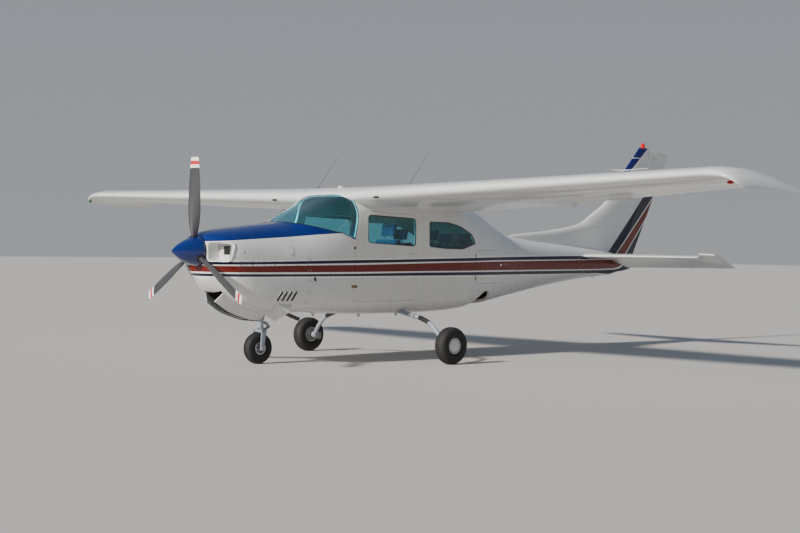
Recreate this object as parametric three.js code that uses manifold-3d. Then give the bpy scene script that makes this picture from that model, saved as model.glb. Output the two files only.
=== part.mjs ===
// Light aircraft: a cantilever high-wing, single-engined six-seater parked on its tricycle gear.
// Millimetres. +X points forward, +Y to port, +Z up; the origin is on the ground under the middle
// of the overall length. A station is a distance aft of the tip of the propeller's spinner.
import * as THREE from 'three';
import { mergeVertices } from 'three/addons/utils/BufferGeometryUtils.js';
import Module from 'manifold-3d';

const wasm = await Module();
wasm.setup();

// Driving dimensions
const LENGTH = 8585;
const SPAN = 11200;
const NOSE_X = LENGTH / 2;
const SEAT_GAP = 0.3; // between fixed pieces that rest on each other
const PIN_GAP = 0.6; // around a hinge pin or an axle
const RUN_GAP = 7; // around a piece that moves
const WALL = 40; // cabin walls and doors
const COWL_WALL = 15;
const TAIL_WALL = 12;
const GLASS = 8;

const COWL_SPLIT = 1136; // height of the joint between the two cowl halves
const FIREWALL = 1440; // station
const ROOF_SEAM = 1775; // height
const BELLY_SEAM = 650; // height
const BELLY_END = 4150; // station, just ahead of the wheel wells
const WELL_SEAM = 865; // height of the joint above the wheel wells
const CABIN_END = 4750; // station

const HUB = { station: 290, height: 1255 };
const SPINNER_RADIUS = 170;
const PROPELLER_RADIUS = 1016;
const BLADES = 3;

const NOSE_WHEEL = { station: 1160, height: 176, radius: 176, width: 126, bead: 64 };
const MAIN_WHEEL = { station: 2925, height: 212.5, radius: 212.5, width: 160, bead: 82, y: 1293 };
const STRUT_RAKE = 38 / 302; // stations aft for each millimetre up

const WING_ROOT = 420;
const FLAP_ENDS = [640, 2574];
const FLAP_SLIDE = 14; // how far the flap moves outboard as it runs down its tracks
const AILERON_ENDS = [2612, 5235];
const WING_END = 5250;
const FLAP_HINGE = 0.72; // share of the chord
const AILERON_HINGE = 0.77;

const ELEVATOR_HINGE = { station: 7090, height: 1240 };
const ELEVATOR_DROOP = THREE.MathUtils.degToRad(20);
const RUDDER_HINGE = { lowStation: 7436, low: 1275, highStation: 8190, high: 2520 };

// Paint and material finishes
function finish(color, roughness, metalness = 0, opacity = 1) {
  return new THREE.MeshStandardMaterial({
    color, roughness, metalness, opacity, transparent: opacity < 1,
  });
}
const WHITE = finish(0xe9e9e6, 0.3);
const BLUE = finish(0x0b3f9e, 0.2);
const CHARCOAL = finish(0x33363a, 0.45);
const TINTED = finish(0x4aa9ae, 0.05, 0, 0.35);
const LEG_PAINT = finish(0xc5ccd4, 0.35, 0.3);
const CAST = finish(0x55585c, 0.7, 0.6);
const BARE = finish(0xb9bcc0, 0.35, 0.9);
const RUBBER = finish(0x161616, 0.85);
const NAVY_CLOTH = finish(0x1d2b4f, 0.9);
const TRIM = finish(0x3a3d42, 0.7);
const CARPET = finish(0x4a4f59, 0.95);
const RED_LENS = finish(0xc3141c, 0.15);

// Solids from closed three.js geometry, with their faces turned outwards, and back
const WELD = 1e-3;

function solidOf(geometry) {
  const bare = geometry.clone();
  bare.deleteAttribute('normal');
  bare.deleteAttribute('uv');
  const welded = mergeVertices(bare, WELD);
  const index = welded.index.array;
  const corner = (k) => new THREE.Vector3().fromBufferAttribute(welded.attributes.position, k);
  const kept = [];
  let volume = 0;
  for (let i = 0; i < index.length; i += 3) {
    const [a, b, c] = [index[i], index[i + 1], index[i + 2]];
    if (a === b || b === c || c === a) continue;
    kept.push([a, b, c]);
    volume += corner(a).dot(corner(b).cross(corner(c)));
  }
  const outward = kept.map(([a, b, c]) => (volume < 0 ? [b, a, c] : [a, b, c]));
  return new wasm.Manifold(new wasm.Mesh({
    numProp: 3,
    vertProperties: new Float32Array(welded.attributes.position.array),
    triVerts: new Uint32Array(outward.flat()),
  }));
}

function geometryOf(solid) {
  const mesh = solid.getMesh();
  const geometry = new THREE.BufferGeometry();
  geometry.setAttribute('position', new THREE.BufferAttribute(mesh.vertProperties, 3));
  geometry.setIndex(new THREE.BufferAttribute(mesh.triVerts, 1));
  return geometry;
}

function mirrored(solid) {
  const geometry = geometryOf(solid);
  const places = geometry.attributes.position;
  for (let i = 0; i < places.count; i++) places.setY(i, -places.getY(i));
  return solidOf(geometry);
}

const join = (first, ...others) => others.reduce((sum, next) => sum.add(next), first);
const cut = (first, ...others) => others.reduce((rest, next) => rest.subtract(next), first);
const common = (first, second) => first.intersect(second);

// Shapes that every section uses
const at = (station, y, z) => new THREE.Vector3(NOSE_X - station, y, z);

// Triangles that fill a flat ring, each wound the way the ring runs
function capTriangles(ring) {
  const normal = new THREE.Vector3();
  ring.forEach((point, k) => normal.add(point.clone().cross(ring[(k + 1) % ring.length])));
  const size = normal.toArray().map(Math.abs);
  const drop = size.indexOf(Math.max(...size));
  const flat = ring.map((point) => new THREE.Vector2(
    point.getComponent((drop + 1) % 3), point.getComponent((drop + 2) % 3)));
  const way = Math.sign(THREE.ShapeUtils.area(flat));
  return THREE.ShapeUtils.triangulateShape(flat, []).map(([a, b, c]) => (
    Math.sign(THREE.ShapeUtils.area([flat[a], flat[b], flat[c]])) === way ? [a, b, c] : [b, a, c]));
}

// A closed body through rings that all have the same number of points; the faces' diagonals on the
// starboard side mirror those to port
function loft(rings) {
  const places = rings.flat().flatMap((point) => point.toArray());
  const count = rings[0].length;
  const index = [];
  for (let r = 0; r + 1 < rings.length; r++) {
    for (let k = 0; k < count; k++) {
      const next = (k + 1) % count;
      const [a, b] = [r * count + k, r * count + next];
      const port = rings[r][k].y + rings[r][next].y >= 0;
      index.push(...(port ? [a, b, b + count, a, b + count, a + count]
        : [a, b, a + count, b, b + count, a + count]));
    }
  }
  const last = (rings.length - 1) * count;
  for (const [a, b, c] of capTriangles(rings[0])) index.push(b, a, c);
  for (const [a, b, c] of capTriangles(rings.at(-1))) index.push(last + a, last + b, last + c);
  const geometry = new THREE.BufferGeometry();
  geometry.setAttribute('position', new THREE.Float32BufferAttribute(places, 3));
  geometry.setIndex(index);
  return solidOf(geometry);
}

const sidePrism = (points, y0, y1) => loft(
  [y0, y1].map((y) => points.map(([station, z]) => at(station, y, z))));
const planPrism = (points, z0, z1) => loft(
  [z0, z1].map((z) => points.map(([station, y]) => at(station, y, z))));
const block = (s0, s1, y0, y1, z0, z1) => sidePrism([[s0, z0], [s1, z0], [s1, z1], [s0, z1]], y0, y1);

function rod(start, end, radius, sides = 16) {
  const line = end.clone().sub(start);
  const geometry = new THREE.CylinderGeometry(radius, radius, line.length(), sides);
  const turn = new THREE.Quaternion().setFromUnitVectors(
    new THREE.Vector3(0, 1, 0), line.clone().normalize());
  geometry.applyQuaternion(turn);
  geometry.translate(...start.clone().add(end).multiplyScalar(0.5).toArray());
  return solidOf(geometry);
}

function tube(points, radius, steps, sides = 6) {
  const shape = new THREE.Shape();
  shape.absarc(0, 0, radius, 0, 2 * Math.PI, false);
  return solidOf(new THREE.ExtrudeGeometry(shape, {
    steps, bevelEnabled: false, curveSegments: sides,
    extrudePath: new THREE.CatmullRomCurve3(points),
  }));
}

// Turns a profile of radius and distance pairs around the Y axis
function lathe(profile, segments, start = 0) {
  const points = profile.map(([radius, along]) => new THREE.Vector2(radius, along));
  return solidOf(new THREE.LatheGeometry(points, segments, start));
}

// Rounds the corners of an outline with short curves
function rounded(points, radius, steps = 3) {
  const result = [];
  points.forEach((corner, k) => {
    const here = new THREE.Vector2(...corner);
    const before = new THREE.Vector2(...points.at(k - 1)).sub(here);
    const after = new THREE.Vector2(...points[(k + 1) % points.length]).sub(here);
    const reach = Math.min(radius, before.length() / 2.2, after.length() / 2.2);
    const curve = new THREE.QuadraticBezierCurve(
      here.clone().add(before.setLength(reach)), here, here.clone().add(after.setLength(reach)));
    curve.getPoints(steps).forEach((point) => result.push(point.toArray()));
  });
  return result;
}

// Moves an outline's edges outwards by a distance, or inwards by a negative one
function offset(points, distance) {
  const outline = points.map((point) => new THREE.Vector2(...point));
  const side = Math.sign(THREE.ShapeUtils.area(outline)) * distance;
  const edges = outline.map((point, k) => {
    const line = outline[(k + 1) % outline.length].clone().sub(point).normalize();
    return { line, start: point.clone().add(new THREE.Vector2(line.y, -line.x).multiplyScalar(side)) };
  });
  return edges.map((edge, k) => {
    const previous = edges.at(k - 1);
    const turn = previous.line.cross(edge.line);
    if (Math.abs(turn) < 1e-6) return edge.start.toArray();
    const along = edge.start.clone().sub(previous.start).cross(edge.line) / turn;
    return previous.start.clone().add(previous.line.clone().multiplyScalar(along)).toArray();
  });
}

// Fuselage
// Columns: station, bottom, top, half width, widest height, squareness above and below it
const SECTIONS = [
  [345, 1045, 1405, 290, 1235, 2.2, 2.2],
  [362, 985, 1428, 375, 1230, 2.3, 2.3],
  [400, 915, 1450, 432, 1220, 2.4, 2.4],
  [460, 858, 1472, 466, 1210, 2.5, 2.6],
  [560, 790, 1494, 490, 1185, 2.6, 2.8],
  [765, 672, 1524, 517, 1150, 2.6, 3.1],
  [1085, 570, 1562, 550, 1110, 2.6, 3.6],
  [1345, 570, 1596, 574, 1100, 2.6, 3.8],
  [1600, 576, 1708, 590, 1100, 2.6, 3.8],
  [1850, 563, 1815, 600, 1100, 2.8, 3.8],
  [2124, 550, 1930, 605, 1100, 3.4, 4],
  [2400, 540, 1990, 605, 1100, 4.5, 4],
  [2900, 537, 2018, 605, 1100, 4.8, 4],
  [3300, 539, 2014, 598, 1100, 4.5, 4],
  [3740, 551, 1960, 572, 1105, 3.8, 3.8],
  [4100, 580, 1880, 530, 1115, 3.2, 3.5],
  [4412, 618, 1780, 478, 1130, 2.8, 3.1],
  [4750, 662, 1618, 412, 1140, 2.4, 2.7],
  [5050, 708, 1500, 356, 1150, 2.2, 2.4],
  [5500, 780, 1448, 292, 1155, 2.2, 2.3],
  [6055, 863, 1404, 236, 1155, 2.1, 2.2],
  [6730, 940, 1352, 168, 1155, 2, 2],
  [7255, 995, 1304, 108, 1160, 2, 2],
  [7430, 1062, 1262, 82, 1165, 2, 2],
  [7719, 1096, 1254, 46, 1185, 2, 2],
  [7793, 1172, 1250, 16, 1212, 2, 2],
];
const RING_POINTS = 26;

function sectionAt(station) {
  const next = SECTIONS.findIndex((row) => row[0] >= station);
  if (next <= 0) return SECTIONS.at(next);
  const [low, high] = [SECTIONS[next - 1], SECTIONS[next]];
  const share = (station - low[0]) / (high[0] - low[0]);
  return low.map((value, column) => value + share * (high[column] - value));
}

function sectionRing(station, inset) {
  const [, bottom, top, halfWidth, widest, squareTop, squareBottom] = sectionAt(station);
  return Array.from({ length: RING_POINTS }, (_, k) => {
    const angle = (2 * Math.PI * (k + 0.5)) / RING_POINTS;
    const [c, s] = [Math.cos(angle), Math.sin(angle)];
    const power = 2 / (s > 0 ? squareTop : squareBottom);
    const reach = s > 0 ? top - inset - widest : widest - bottom - inset;
    return at(station,
      Math.sign(c) * Math.abs(c) ** power * (halfWidth - inset),
      widest + Math.sign(s) * Math.abs(s) ** power * reach);
  });
}

// The body moved inwards by an inset, between two of the table's stations
function hull(inset, from = SECTIONS[0][0], to = SECTIONS.at(-1)[0]) {
  const stations = SECTIONS.map((row) => row[0]).filter((station) => station >= from && station <= to);
  return loft(stations.map((station) => sectionRing(station, inset)));
}

// Height of the lower skin at a distance from the centreline
function lowerSkin(station, y) {
  const [, bottom, , halfWidth, widest, , square] = sectionAt(station);
  return widest - (widest - bottom) * (1 - (y / halfWidth) ** square) ** (1 / square);
}

const HALF = SEAT_GAP / 2;
const BODY = hull(0);
const BODY_CLEAR = hull(-SEAT_GAP);
const CABIN_HOLLOW = hull(WALL, 765, 6055);
const CABIN_SPACE = hull(WALL + SEAT_GAP, 765, 6055);
const PORT = block(0, LENGTH, HALF, 2000, 0, 3000);
const STARBOARD = block(0, LENGTH, -2000, -HALF, 0, 3000);

// The cowl's rear joint, in side view: upright, then sloping forward to the windshield's base
const COWL_JOINT = [[1430, 0], [1430, 1400], [1343, 1590], [1343, 2300]];
const WINDSHIELD = [
  [1343, 1594], [1799, 1488], [1890, 1474], [2066, 1404],
  [2112, 1573], [2134, 1700], [2130, 1830], [2124, 1900], [2124, 2300], [1343, 2300],
];
const REAR_WINDOW = [
  ...rounded([[3250, 1334], [3250, 1637], [3560, 1634], [3785, 1594], [4011, 1500], [4083, 1379],
    [3825, 1309], [3520, 1312]], 34, 2),
];
const DOOR = rounded([
  [2068, 700], [2068, 1330], [2118, 1420], [2196, 1742], [3035, 1700], [3035, 700]], 90);
const DOOR_WINDOW = rounded([[2280, 1370], [2290, 1695], [3008, 1668], [3004, 1335]], 55);
const BAGGAGE_DOOR = rounded([[4080, 890], [4080, 1300], [4660, 1300], [4660, 890]], 50);
const DOOR_HINGE = { station: 2070, y: 604, heights: [874, 1311] };
const BAGGAGE_HINGE = { station: 4082, y: 531, heights: [960, 1230] };
const WHEEL_BAY = { station: 4420, y: 200, radius: 235, top: 840 };

const ACROSS = [-2000, 2000];
const cowlSide = sidePrism(
  [[300, 0], ...COWL_JOINT.map(([s, z]) => [s - HALF, z]), [300, 2300]], ...ACROSS);
const cabinSide = sidePrism(
  [...COWL_JOINT.map(([s, z]) => [s + HALF, z]), [CABIN_END - HALF, 2300], [CABIN_END - HALF, 0]],
  ...ACROSS);

function barrel(hinge, height, radius, length) {
  return rod(at(hinge.station, hinge.y, height - length / 2),
    at(hinge.station, hinge.y, height + length / 2), radius, 10);
}
const HINGE_RADIUS = 9;
const HINGE_LENGTH = 60;
const barrels = (hinge) => hinge.heights.map((z) => barrel(hinge, z, HINGE_RADIUS, HINGE_LENGTH));
const barrelSeats = (hinge) => hinge.heights.map(
  (z) => barrel(hinge, z, HINGE_RADIUS + PIN_GAP, HINGE_LENGTH + 2 * PIN_GAP));

function bayCutter(side) {
  const arc = Array.from({ length: 24 }, (_, k) => {
    const angle = (2 * Math.PI * k) / 24;
    return [WHEEL_BAY.station + WHEEL_BAY.radius * Math.cos(angle),
      side * WHEEL_BAY.y + WHEEL_BAY.radius * Math.sin(angle)];
  });
  return planPrism(arc, 300, WHEEL_BAY.top);
}

function cabinWalls() {
  const shell = common(cut(BODY, CABIN_HOLLOW), cabinSide);
  const leftHinges = [...barrelSeats(DOOR_HINGE), ...barrelSeats(BAGGAGE_HINGE)];
  return cut(shell,
    sidePrism(WINDSHIELD, ...ACROSS),
    sidePrism(REAR_WINDOW, ...ACROSS),
    sidePrism(DOOR, ...ACROSS),
    sidePrism(BAGGAGE_DOOR, 0, 2000),
    bayCutter(1), bayCutter(-1),
    ...leftHinges, ...barrelSeats(DOOR_HINGE).map(mirrored));
}

const WALLS = cabinWalls();
const ROOF_REGION = block(1343, CABIN_END, -2000, 2000, ROOF_SEAM, 2300);
const BELLY_REGION = block(1300, BELLY_END, -2000, 2000, 300, BELLY_SEAM);
const WELL_REGION = block(BELLY_END + SEAT_GAP, CABIN_END, -2000, 2000, 300, WELL_SEAM);
const SEAMS = [
  block(1300, CABIN_END, -2000, 2000, ROOF_SEAM - SEAT_GAP, ROOF_SEAM + 600),
  block(1300, BELLY_END, -2000, 2000, 300, BELLY_SEAM + SEAT_GAP),
  block(BELLY_END, CABIN_END, -2000, 2000, 300, WELL_SEAM + SEAT_GAP),
];

const roof = () => common(WALLS, ROOF_REGION);
const belly = () => common(WALLS, BELLY_REGION);
const sidePanel = (half) => cut(common(WALLS, half), ...SEAMS);
const wheelWell = (half) => common(common(WALLS, WELL_REGION), half);

const GLAZING = cut(BODY, hull(GLASS, 765, 6055));
const pane = (outline) => common(GLAZING, sidePrism(offset(outline, -SEAT_GAP), ...ACROSS));

function doorPanel(outline, hinge, window) {
  const wall = cut(BODY, CABIN_HOLLOW);
  const panel = common(wall, sidePrism(offset(outline, -RUN_GAP), 0, 2000));
  const opened = window ? cut(panel, sidePrism(window, 0, 2000)) : panel;
  return join(opened, ...barrels(hinge));
}

// Cowl
const INLET = rounded([[175, 1150], [175, 1345], [425, 1330], [425, 1165]], 50);
const NOSE_BAY = { front: 530, back: 1330, halfWidth: 165 };

const COWL_FLAP = { station: 1045, inner: 195, outer: 470 };

function cowlFlapBasis(open) {
  const [inner, outer] = [COWL_FLAP.inner, COWL_FLAP.outer].map(
    (y) => at(COWL_FLAP.station, y, lowerSkin(COWL_FLAP.station, y)));
  const along = outer.clone().sub(inner);
  const length = along.length();
  along.normalize();
  const aft = new THREE.Vector3(-1, 0, 0);
  const out = aft.clone().cross(along);
  if (out.z > 0) out.negate();
  const swungAft = aft.clone().multiplyScalar(Math.cos(open)).addScaledVector(out, Math.sin(open));
  const swungOut = out.clone().multiplyScalar(Math.cos(open)).addScaledVector(aft, -Math.sin(open));
  const place = (u, v, w) => inner.clone()
    .addScaledVector(along, u).addScaledVector(swungAft, v).addScaledVector(swungOut, w);
  return { place, length };
}

function flapBlock(place, u0, u1, outline) {
  return loft([u0, u1].map((u) => outline.map(([v, w]) => place(u, v, w))));
}

const FLAP_CHORD = 200;
const FLAP_OPEN = THREE.MathUtils.degToRad(34);
const FLAP_PIN = { radius: 6, inset: -6 };

function cowlFlap() {
  const { place, length } = cowlFlapBasis(FLAP_OPEN);
  const plate = flapBlock(place, 0, length, [[0, -2], [0, -10], [FLAP_CHORD, -8], [FLAP_CHORD, 0]]);
  const gusset = [[30, -5], [FLAP_CHORD, -5], [FLAP_CHORD - 3, -20], [FLAP_CHORD - 30, -100]];
  const pin = rod(place(0, 0, FLAP_PIN.inset), place(length, 0, FLAP_PIN.inset), FLAP_PIN.radius, 12);
  return join(plate, flapBlock(place, 0, 7, gusset), flapBlock(place, length - 7, length, gusset), pin);
}

function cowlFlapHole() {
  const { place, length } = cowlFlapBasis(0);
  const opening = [[0, -80], [0, 60], [FLAP_CHORD + RUN_GAP, 60], [FLAP_CHORD + RUN_GAP, -80]];
  const seat = rod(place(-RUN_GAP, 0, FLAP_PIN.inset), place(length + RUN_GAP, 0, FLAP_PIN.inset),
    FLAP_PIN.radius + PIN_GAP, 12);
  return join(flapBlock(place, -RUN_GAP, length + RUN_GAP, opening), seat);
}

function cowlShell() {
  const shell = common(cut(BODY, hull(COWL_WALL, 362, 2124)), cowlSide);
  const inlets = [1, -1].map((side) => loft([300, 420].map(
    (station) => INLET.map(([y, z]) => at(station, side * y, z)))));
  const shaftHole = rod(at(300, 0, HUB.height), at(420, 0, HUB.height), 80, 24);
  const bay = block(NOSE_BAY.front, NOSE_BAY.back, -NOSE_BAY.halfWidth, NOSE_BAY.halfWidth, 400, 900);
  const holes = cowlFlapHole();
  return cut(shell, ...inlets, shaftHole, bay, holes, mirrored(holes));
}

const COWL = cowlShell();
const cowlUpper = () => common(COWL, block(300, 1600, -900, 900, COWL_SPLIT + HALF, 2300));
const cowlLower = () => common(COWL, block(300, 1600, -900, 900, 300, COWL_SPLIT - HALF));

function engine() {
  const casing = block(560, FIREWALL - SEAT_GAP, -380, 380, 965, 1365);
  const shaft = rod(at(340 + SEAT_GAP, 0, HUB.height), at(600, 0, HUB.height), 45, 20);
  return join(casing, shaft);
}

const firewall = () => common(CABIN_SPACE, block(FIREWALL, FIREWALL + 15, -900, 900, 0, 2300));

// One leaf of the nose gear doors, hanging open below the bay with its free edge leaning inwards
// Columns: station of the hinge edge, station of the free edge, height of the free edge
const NOSE_DOOR = [
  [560, 513, 703], [630, 600, 645], [700, 680, 598], [780, 765, 562], [870, 863, 530],
  [970, 965, 500], [1060, 1064, 487], [1120, 1130, 488], [1150, 1166, 520]];
const NOSE_DOOR_LEAN = { hinge: 178, free: 75, thickness: 10 };

function noseGearDoor() {
  const { hinge, free, thickness } = NOSE_DOOR_LEAN;
  const leaf = loft(NOSE_DOOR.map(([hingeStation, freeStation, height]) => {
    const top = at(hingeStation, hinge, lowerSkin(hingeStation, hinge) + 4);
    const low = at(freeStation, free, height);
    const slope = Math.atan2(low.z - top.z, low.y - top.y);
    const inwards = new THREE.Vector3(0, Math.sin(slope), -Math.cos(slope)).multiplyScalar(thickness);
    return [top, low, low.clone().add(inwards), top.clone().add(inwards)];
  }));
  return cut(leaf, BODY_CLEAR);
}

// Cabin interior
const FLOOR = { top: 670, bottom: 645, step: 3700, raised: 850, thickness: 20 };

function cabinFloor() {
  const outline = [
    [FIREWALL + 15 + SEAT_GAP, FLOOR.bottom], [FLOOR.step, FLOOR.bottom],
    [FLOOR.step, FLOOR.raised], [4700 - SEAT_GAP, FLOOR.raised],
    [4700 - SEAT_GAP, FLOOR.raised + FLOOR.thickness], [FLOOR.step - 20, FLOOR.raised + FLOOR.thickness],
    [FLOOR.step - 20, FLOOR.top], [FIREWALL + 15 + SEAT_GAP, FLOOR.top],
  ];
  return common(sidePrism(outline, ...ACROSS), CABIN_SPACE);
}

const rearBulkhead = () => common(CABIN_SPACE, block(4700, 4715, -900, 900, 0, 2300));

function instrumentPanel() {
  const facia = block(1850, 1880, -900, 900, 1080, 1430);
  const shelf = sidePrism([[1640, 1425], [1640, 1440], [1900, 1448], [1900, 1425]], -900, 900);
  const yokes = [280, -280].map((y) => join(
    rod(at(1870, y, 1270), at(2080, y, 1270), 14, 10),
    block(2070, 2095, y - 130, y + 130, 1255, 1285),
    block(2070, 2095, y - 130, y - 105, 1255, 1370),
    block(2070, 2095, y + 105, y + 130, 1255, 1370)));
  return join(common(join(facia, shelf), CABIN_SPACE), ...yokes);
}

// Columns: node, station of the cushion's front, side centre, half width, floor, back height
const SEATS = [
  ['seat_front_left', 2360, 285, 205, FLOOR.top, 950],
  ['seat_front_right', 2360, -285, 205, FLOOR.top, 950],
  ['seat_middle_left', 3060, 275, 195, FLOOR.top, 900],
  ['seat_middle_right', 3060, -275, 195, FLOOR.top, 900],
  ['seat_rear', 3730, 0, 340, FLOOR.raised + FLOOR.thickness, 640],
];

function seat([, front, y, halfWidth, floor, height]) {
  const rise = floor === FLOOR.top ? 240 : 60;
  const pan = floor + rise;
  const depth = 440;
  const padded = rounded([
    [front, pan], [front, pan + 120], [front + depth - 90, pan + 105],
    [front + depth + 40, floor + height], [front + depth + 130, floor + height - 5],
    [front + depth + 20, pan]], 40);
  const foot = block(front + 60, front + depth - 40, y - halfWidth + 80, y + halfWidth - 80,
    floor + SEAT_GAP, pan + 10);
  return join(sidePrism(padded, y - halfWidth, y + halfWidth), foot);
}

// Wing
// Columns: spanwise y, leading-edge station, leading-edge height, chord, thickness share, tilt
const WING = [
  [WING_ROOT, 2073, 1897, 1812, 0.15, 4.2],
  [2600, 2118, 1955, 1505, 0.142, 4.6],
  [WING_END, 2172, 2024, 1160, 0.125, 2.8],
];
const TIP = [
  [WING_END + SEAT_GAP, 2172, 2024, 1160, 0.125, 2.8],
  [5410, 2176, 2012, 1150, 0.118, 3],
  [5520, 2196, 1975, 1118, 0.092, 3.2],
  [5580, 2240, 1928, 1050, 0.056, 3],
  [SPAN / 2, 2300, 1896, 950, 0.02, 2.5],
];
const SURFACE_STEPS = 11;
const CAMBER = 0.02;

function rowAt(rows, y) {
  const found = rows.findIndex((row) => row[0] >= y);
  const next = found < 0 ? rows.length - 1 : Math.max(1, found);
  const [low, high] = [rows[next - 1], rows[next]];
  const share = (y - low[0]) / (high[0] - low[0]);
  return low.map((value, column) => value + share * (high[column] - value));
}

const thicknessAt = (share) => 5 * (0.2969 * Math.sqrt(share) - 0.126 * share
  - 0.3516 * share ** 2 + 0.2843 * share ** 3 - 0.1005 * share ** 4);

// A point on a lifting section, above or below its mean line by a share of the thickness
function sectionPoint(row, share, side, camber = CAMBER) {
  const [y, station, height, chord, thickness, tilt] = row;
  const lift = chord * (4 * camber * share * (1 - share) + side * thickness * thicknessAt(share));
  const slope = THREE.MathUtils.degToRad(tilt);
  const along = chord * share;
  return at(station + along * Math.cos(slope) - lift * Math.sin(slope), y,
    height - along * Math.sin(slope) + lift * Math.cos(slope));
}

// Shares of the chord, closer together near the leading edge
const shares = (from, to, steps) => Array.from({ length: steps + 1 }, (_, k) => {
  const t = k / steps;
  return from + (to - from) * (from > 0 ? t : 1 - Math.cos((Math.PI / 2) * t));
});

function airfoilRing(row, from = 0, camber = CAMBER, steps = SURFACE_STEPS) {
  const upper = shares(from, 1, steps).map((share) => sectionPoint(row, share, 1, camber));
  const lower = shares(from, 1, steps).map((share) => sectionPoint(row, share, -1, camber));
  return [...upper.reverse(), ...lower.slice(from > 0 ? 0 : 1)];
}

// Centre of a control surface's rounded nose, and its radius, at a share of the chord
function noseOf(row, share, camber = CAMBER) {
  const [top, bottom] = [1, -1].map((side) => sectionPoint(row, share, side, camber));
  const centre = top.clone().add(bottom).multiplyScalar(0.5);
  const tail = sectionPoint(row, 1, 0, camber);
  return { centre, radius: top.distanceTo(bottom) / 2, tail };
}

// A rounded nose in the plane of a section, from its top round the front to its bottom
function noseArc(centre, tail, radius, steps = 7) {
  const back = tail.clone().sub(centre).normalize();
  const up = new THREE.Vector3(0, 1, 0).cross(back);
  if (up.z < 0) up.negate();
  return Array.from({ length: steps + 1 }, (_, k) => {
    const angle = Math.PI * (k / steps);
    return centre.clone().addScaledVector(up, radius * Math.cos(angle))
      .addScaledVector(back, -radius * Math.sin(angle));
  });
}

function controlRing(row, share, camber = CAMBER) {
  const { centre, radius, tail } = noseOf(row, share, camber);
  const half = 0.5 * row[3] * row[4] * thicknessAt(1);
  const up = new THREE.Vector3(0, 0, Math.max(half, 2.5));
  return [...noseArc(centre, tail, radius), tail.clone().sub(up), tail.clone().add(up)];
}

function controlCutter(row, share, camber = CAMBER) {
  const { centre, radius, tail } = noseOf(row, share, camber);
  const arc = noseArc(centre, tail, radius + RUN_GAP);
  const beyond = tail.clone().sub(centre).multiplyScalar(1.3);
  return [...arc, arc.at(-1).clone().add(beyond), arc[0].clone().add(beyond)];
}

// The flap's cove: a flat face across the section and everything behind it
function coveRing(row, share) {
  const [top, bottom] = [1, -1].map((side) => sectionPoint(row, share, side));
  const out = top.clone().sub(bottom).setLength(60);
  const back = sectionPoint(row, 1, 0).sub(sectionPoint(row, share, 0)).multiplyScalar(1.3);
  const [high, low] = [top.add(out), bottom.sub(out)];
  return [high, low, low.clone().add(back), high.clone().add(back)];
}

const HINGE_PIN = 6;
const HINGE_PIN_GRIP = 14; // how far a pin stands out of the piece that holds it

function aileronHinge(y) {
  return noseOf(rowAt(WING, y), AILERON_HINGE).centre;
}

function aileronPins(radius, reach) {
  const [inner, outer] = AILERON_ENDS.map(aileronHinge);
  const along = outer.clone().sub(inner).normalize();
  return [
    rod(inner.clone().addScaledVector(along, -HINGE_PIN_GRIP),
      inner.clone().addScaledVector(along, reach), radius, 10),
    rod(outer.clone().addScaledVector(along, -reach), outer.clone().addScaledVector(along, 40), radius, 10),
  ];
}

const JACK_PAD = { station: 2700, y: 1150, half: 45, drop: 12 };

function wing() {
  const [flapIn, flapOut] = FLAP_ENDS;
  const [aileronIn, aileronOut] = AILERON_ENDS;
  const panel = loft(WING.map((row) => airfoilRing(row)));
  const flapCut = loft([flapIn - 300, flapOut + FLAP_SLIDE + RUN_GAP].map(
    (y) => coveRing(rowAt(WING, y), FLAP_HINGE)));
  const aileronCut = loft([aileronIn - RUN_GAP, aileronOut + 100].map(
    (y) => controlCutter(rowAt(WING, y), AILERON_HINGE)));
  const padTop = sectionPoint(rowAt(WING, JACK_PAD.y), 0.35, -1).z;
  const pad = block(JACK_PAD.station - JACK_PAD.half, JACK_PAD.station + JACK_PAD.half,
    JACK_PAD.y - JACK_PAD.half, JACK_PAD.y + JACK_PAD.half, padTop - JACK_PAD.drop, padTop + 60);
  const bare = cut(panel, flapCut, aileronCut);
  return cut(join(bare, pad, aileronPins(HINGE_PIN, 10)[0]), BODY_CLEAR);
}

function wingtip() {
  const tip = loft(TIP.map((row) => airfoilRing(row)));
  return join(tip, cut(aileronPins(HINGE_PIN, 10)[1], block(0, 9000, 0, WING_END + SEAT_GAP - 16, 0, 3000)));
}

function aileron() {
  const body = loft(AILERON_ENDS.map((y) => controlRing(rowAt(WING, y), AILERON_HINGE)));
  return cut(body, ...aileronPins(HINGE_PIN + PIN_GAP, 12));
}

const FLAP_ROLLERS = [900, 2300];

// A flap roller's block, its front face along the cove
function flapRoller(middle) {
  return loft([middle - 12, middle + 12].map((y) => {
    const row = rowAt(WING, y);
    const face = [0.3, -0.3].map(
      (side) => sectionPoint(row, FLAP_HINGE, side).add(new THREE.Vector3(-PIN_GAP, 0, 0)));
    const back = [...face].reverse().map((point) => point.clone().add(new THREE.Vector3(-30, 0, 0)));
    return [...face, ...back];
  }));
}

function flap() {
  const front = FLAP_HINGE + 0.004;
  const body = loft(FLAP_ENDS.map((y) => airfoilRing(rowAt(WING, y), front, CAMBER, 5)));
  return join(body, ...FLAP_ROLLERS.map(flapRoller));
}

// Tailplane
// Columns: spanwise y, leading-edge station, height, whole chord, thickness share, tilt
const STABILISER = [
  [0, 6500, ELEVATOR_HINGE.height, 1042, 0.075, 0],
  [150, 6512, ELEVATOR_HINGE.height, 1030, 0.075, 0],
  [1750, 6940, ELEVATOR_HINGE.height, 560, 0.085, 0],
  [1980, 6975, ELEVATOR_HINGE.height, 520, 0.085, 0],
];
const STABILISER_END = 1748;
const ELEVATOR_IN = 150;
const HORN_IN = 1762;
const TAIL_SPAN_HALF = 1980;

function elevatorRow(y) {
  const row = rowAt(STABILISER, y);
  row[1] = Math.min(row[1], 6960);
  return row;
}
const elevatorShare = (row) => (ELEVATOR_HINGE.station - row[1]) / row[3];

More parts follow.
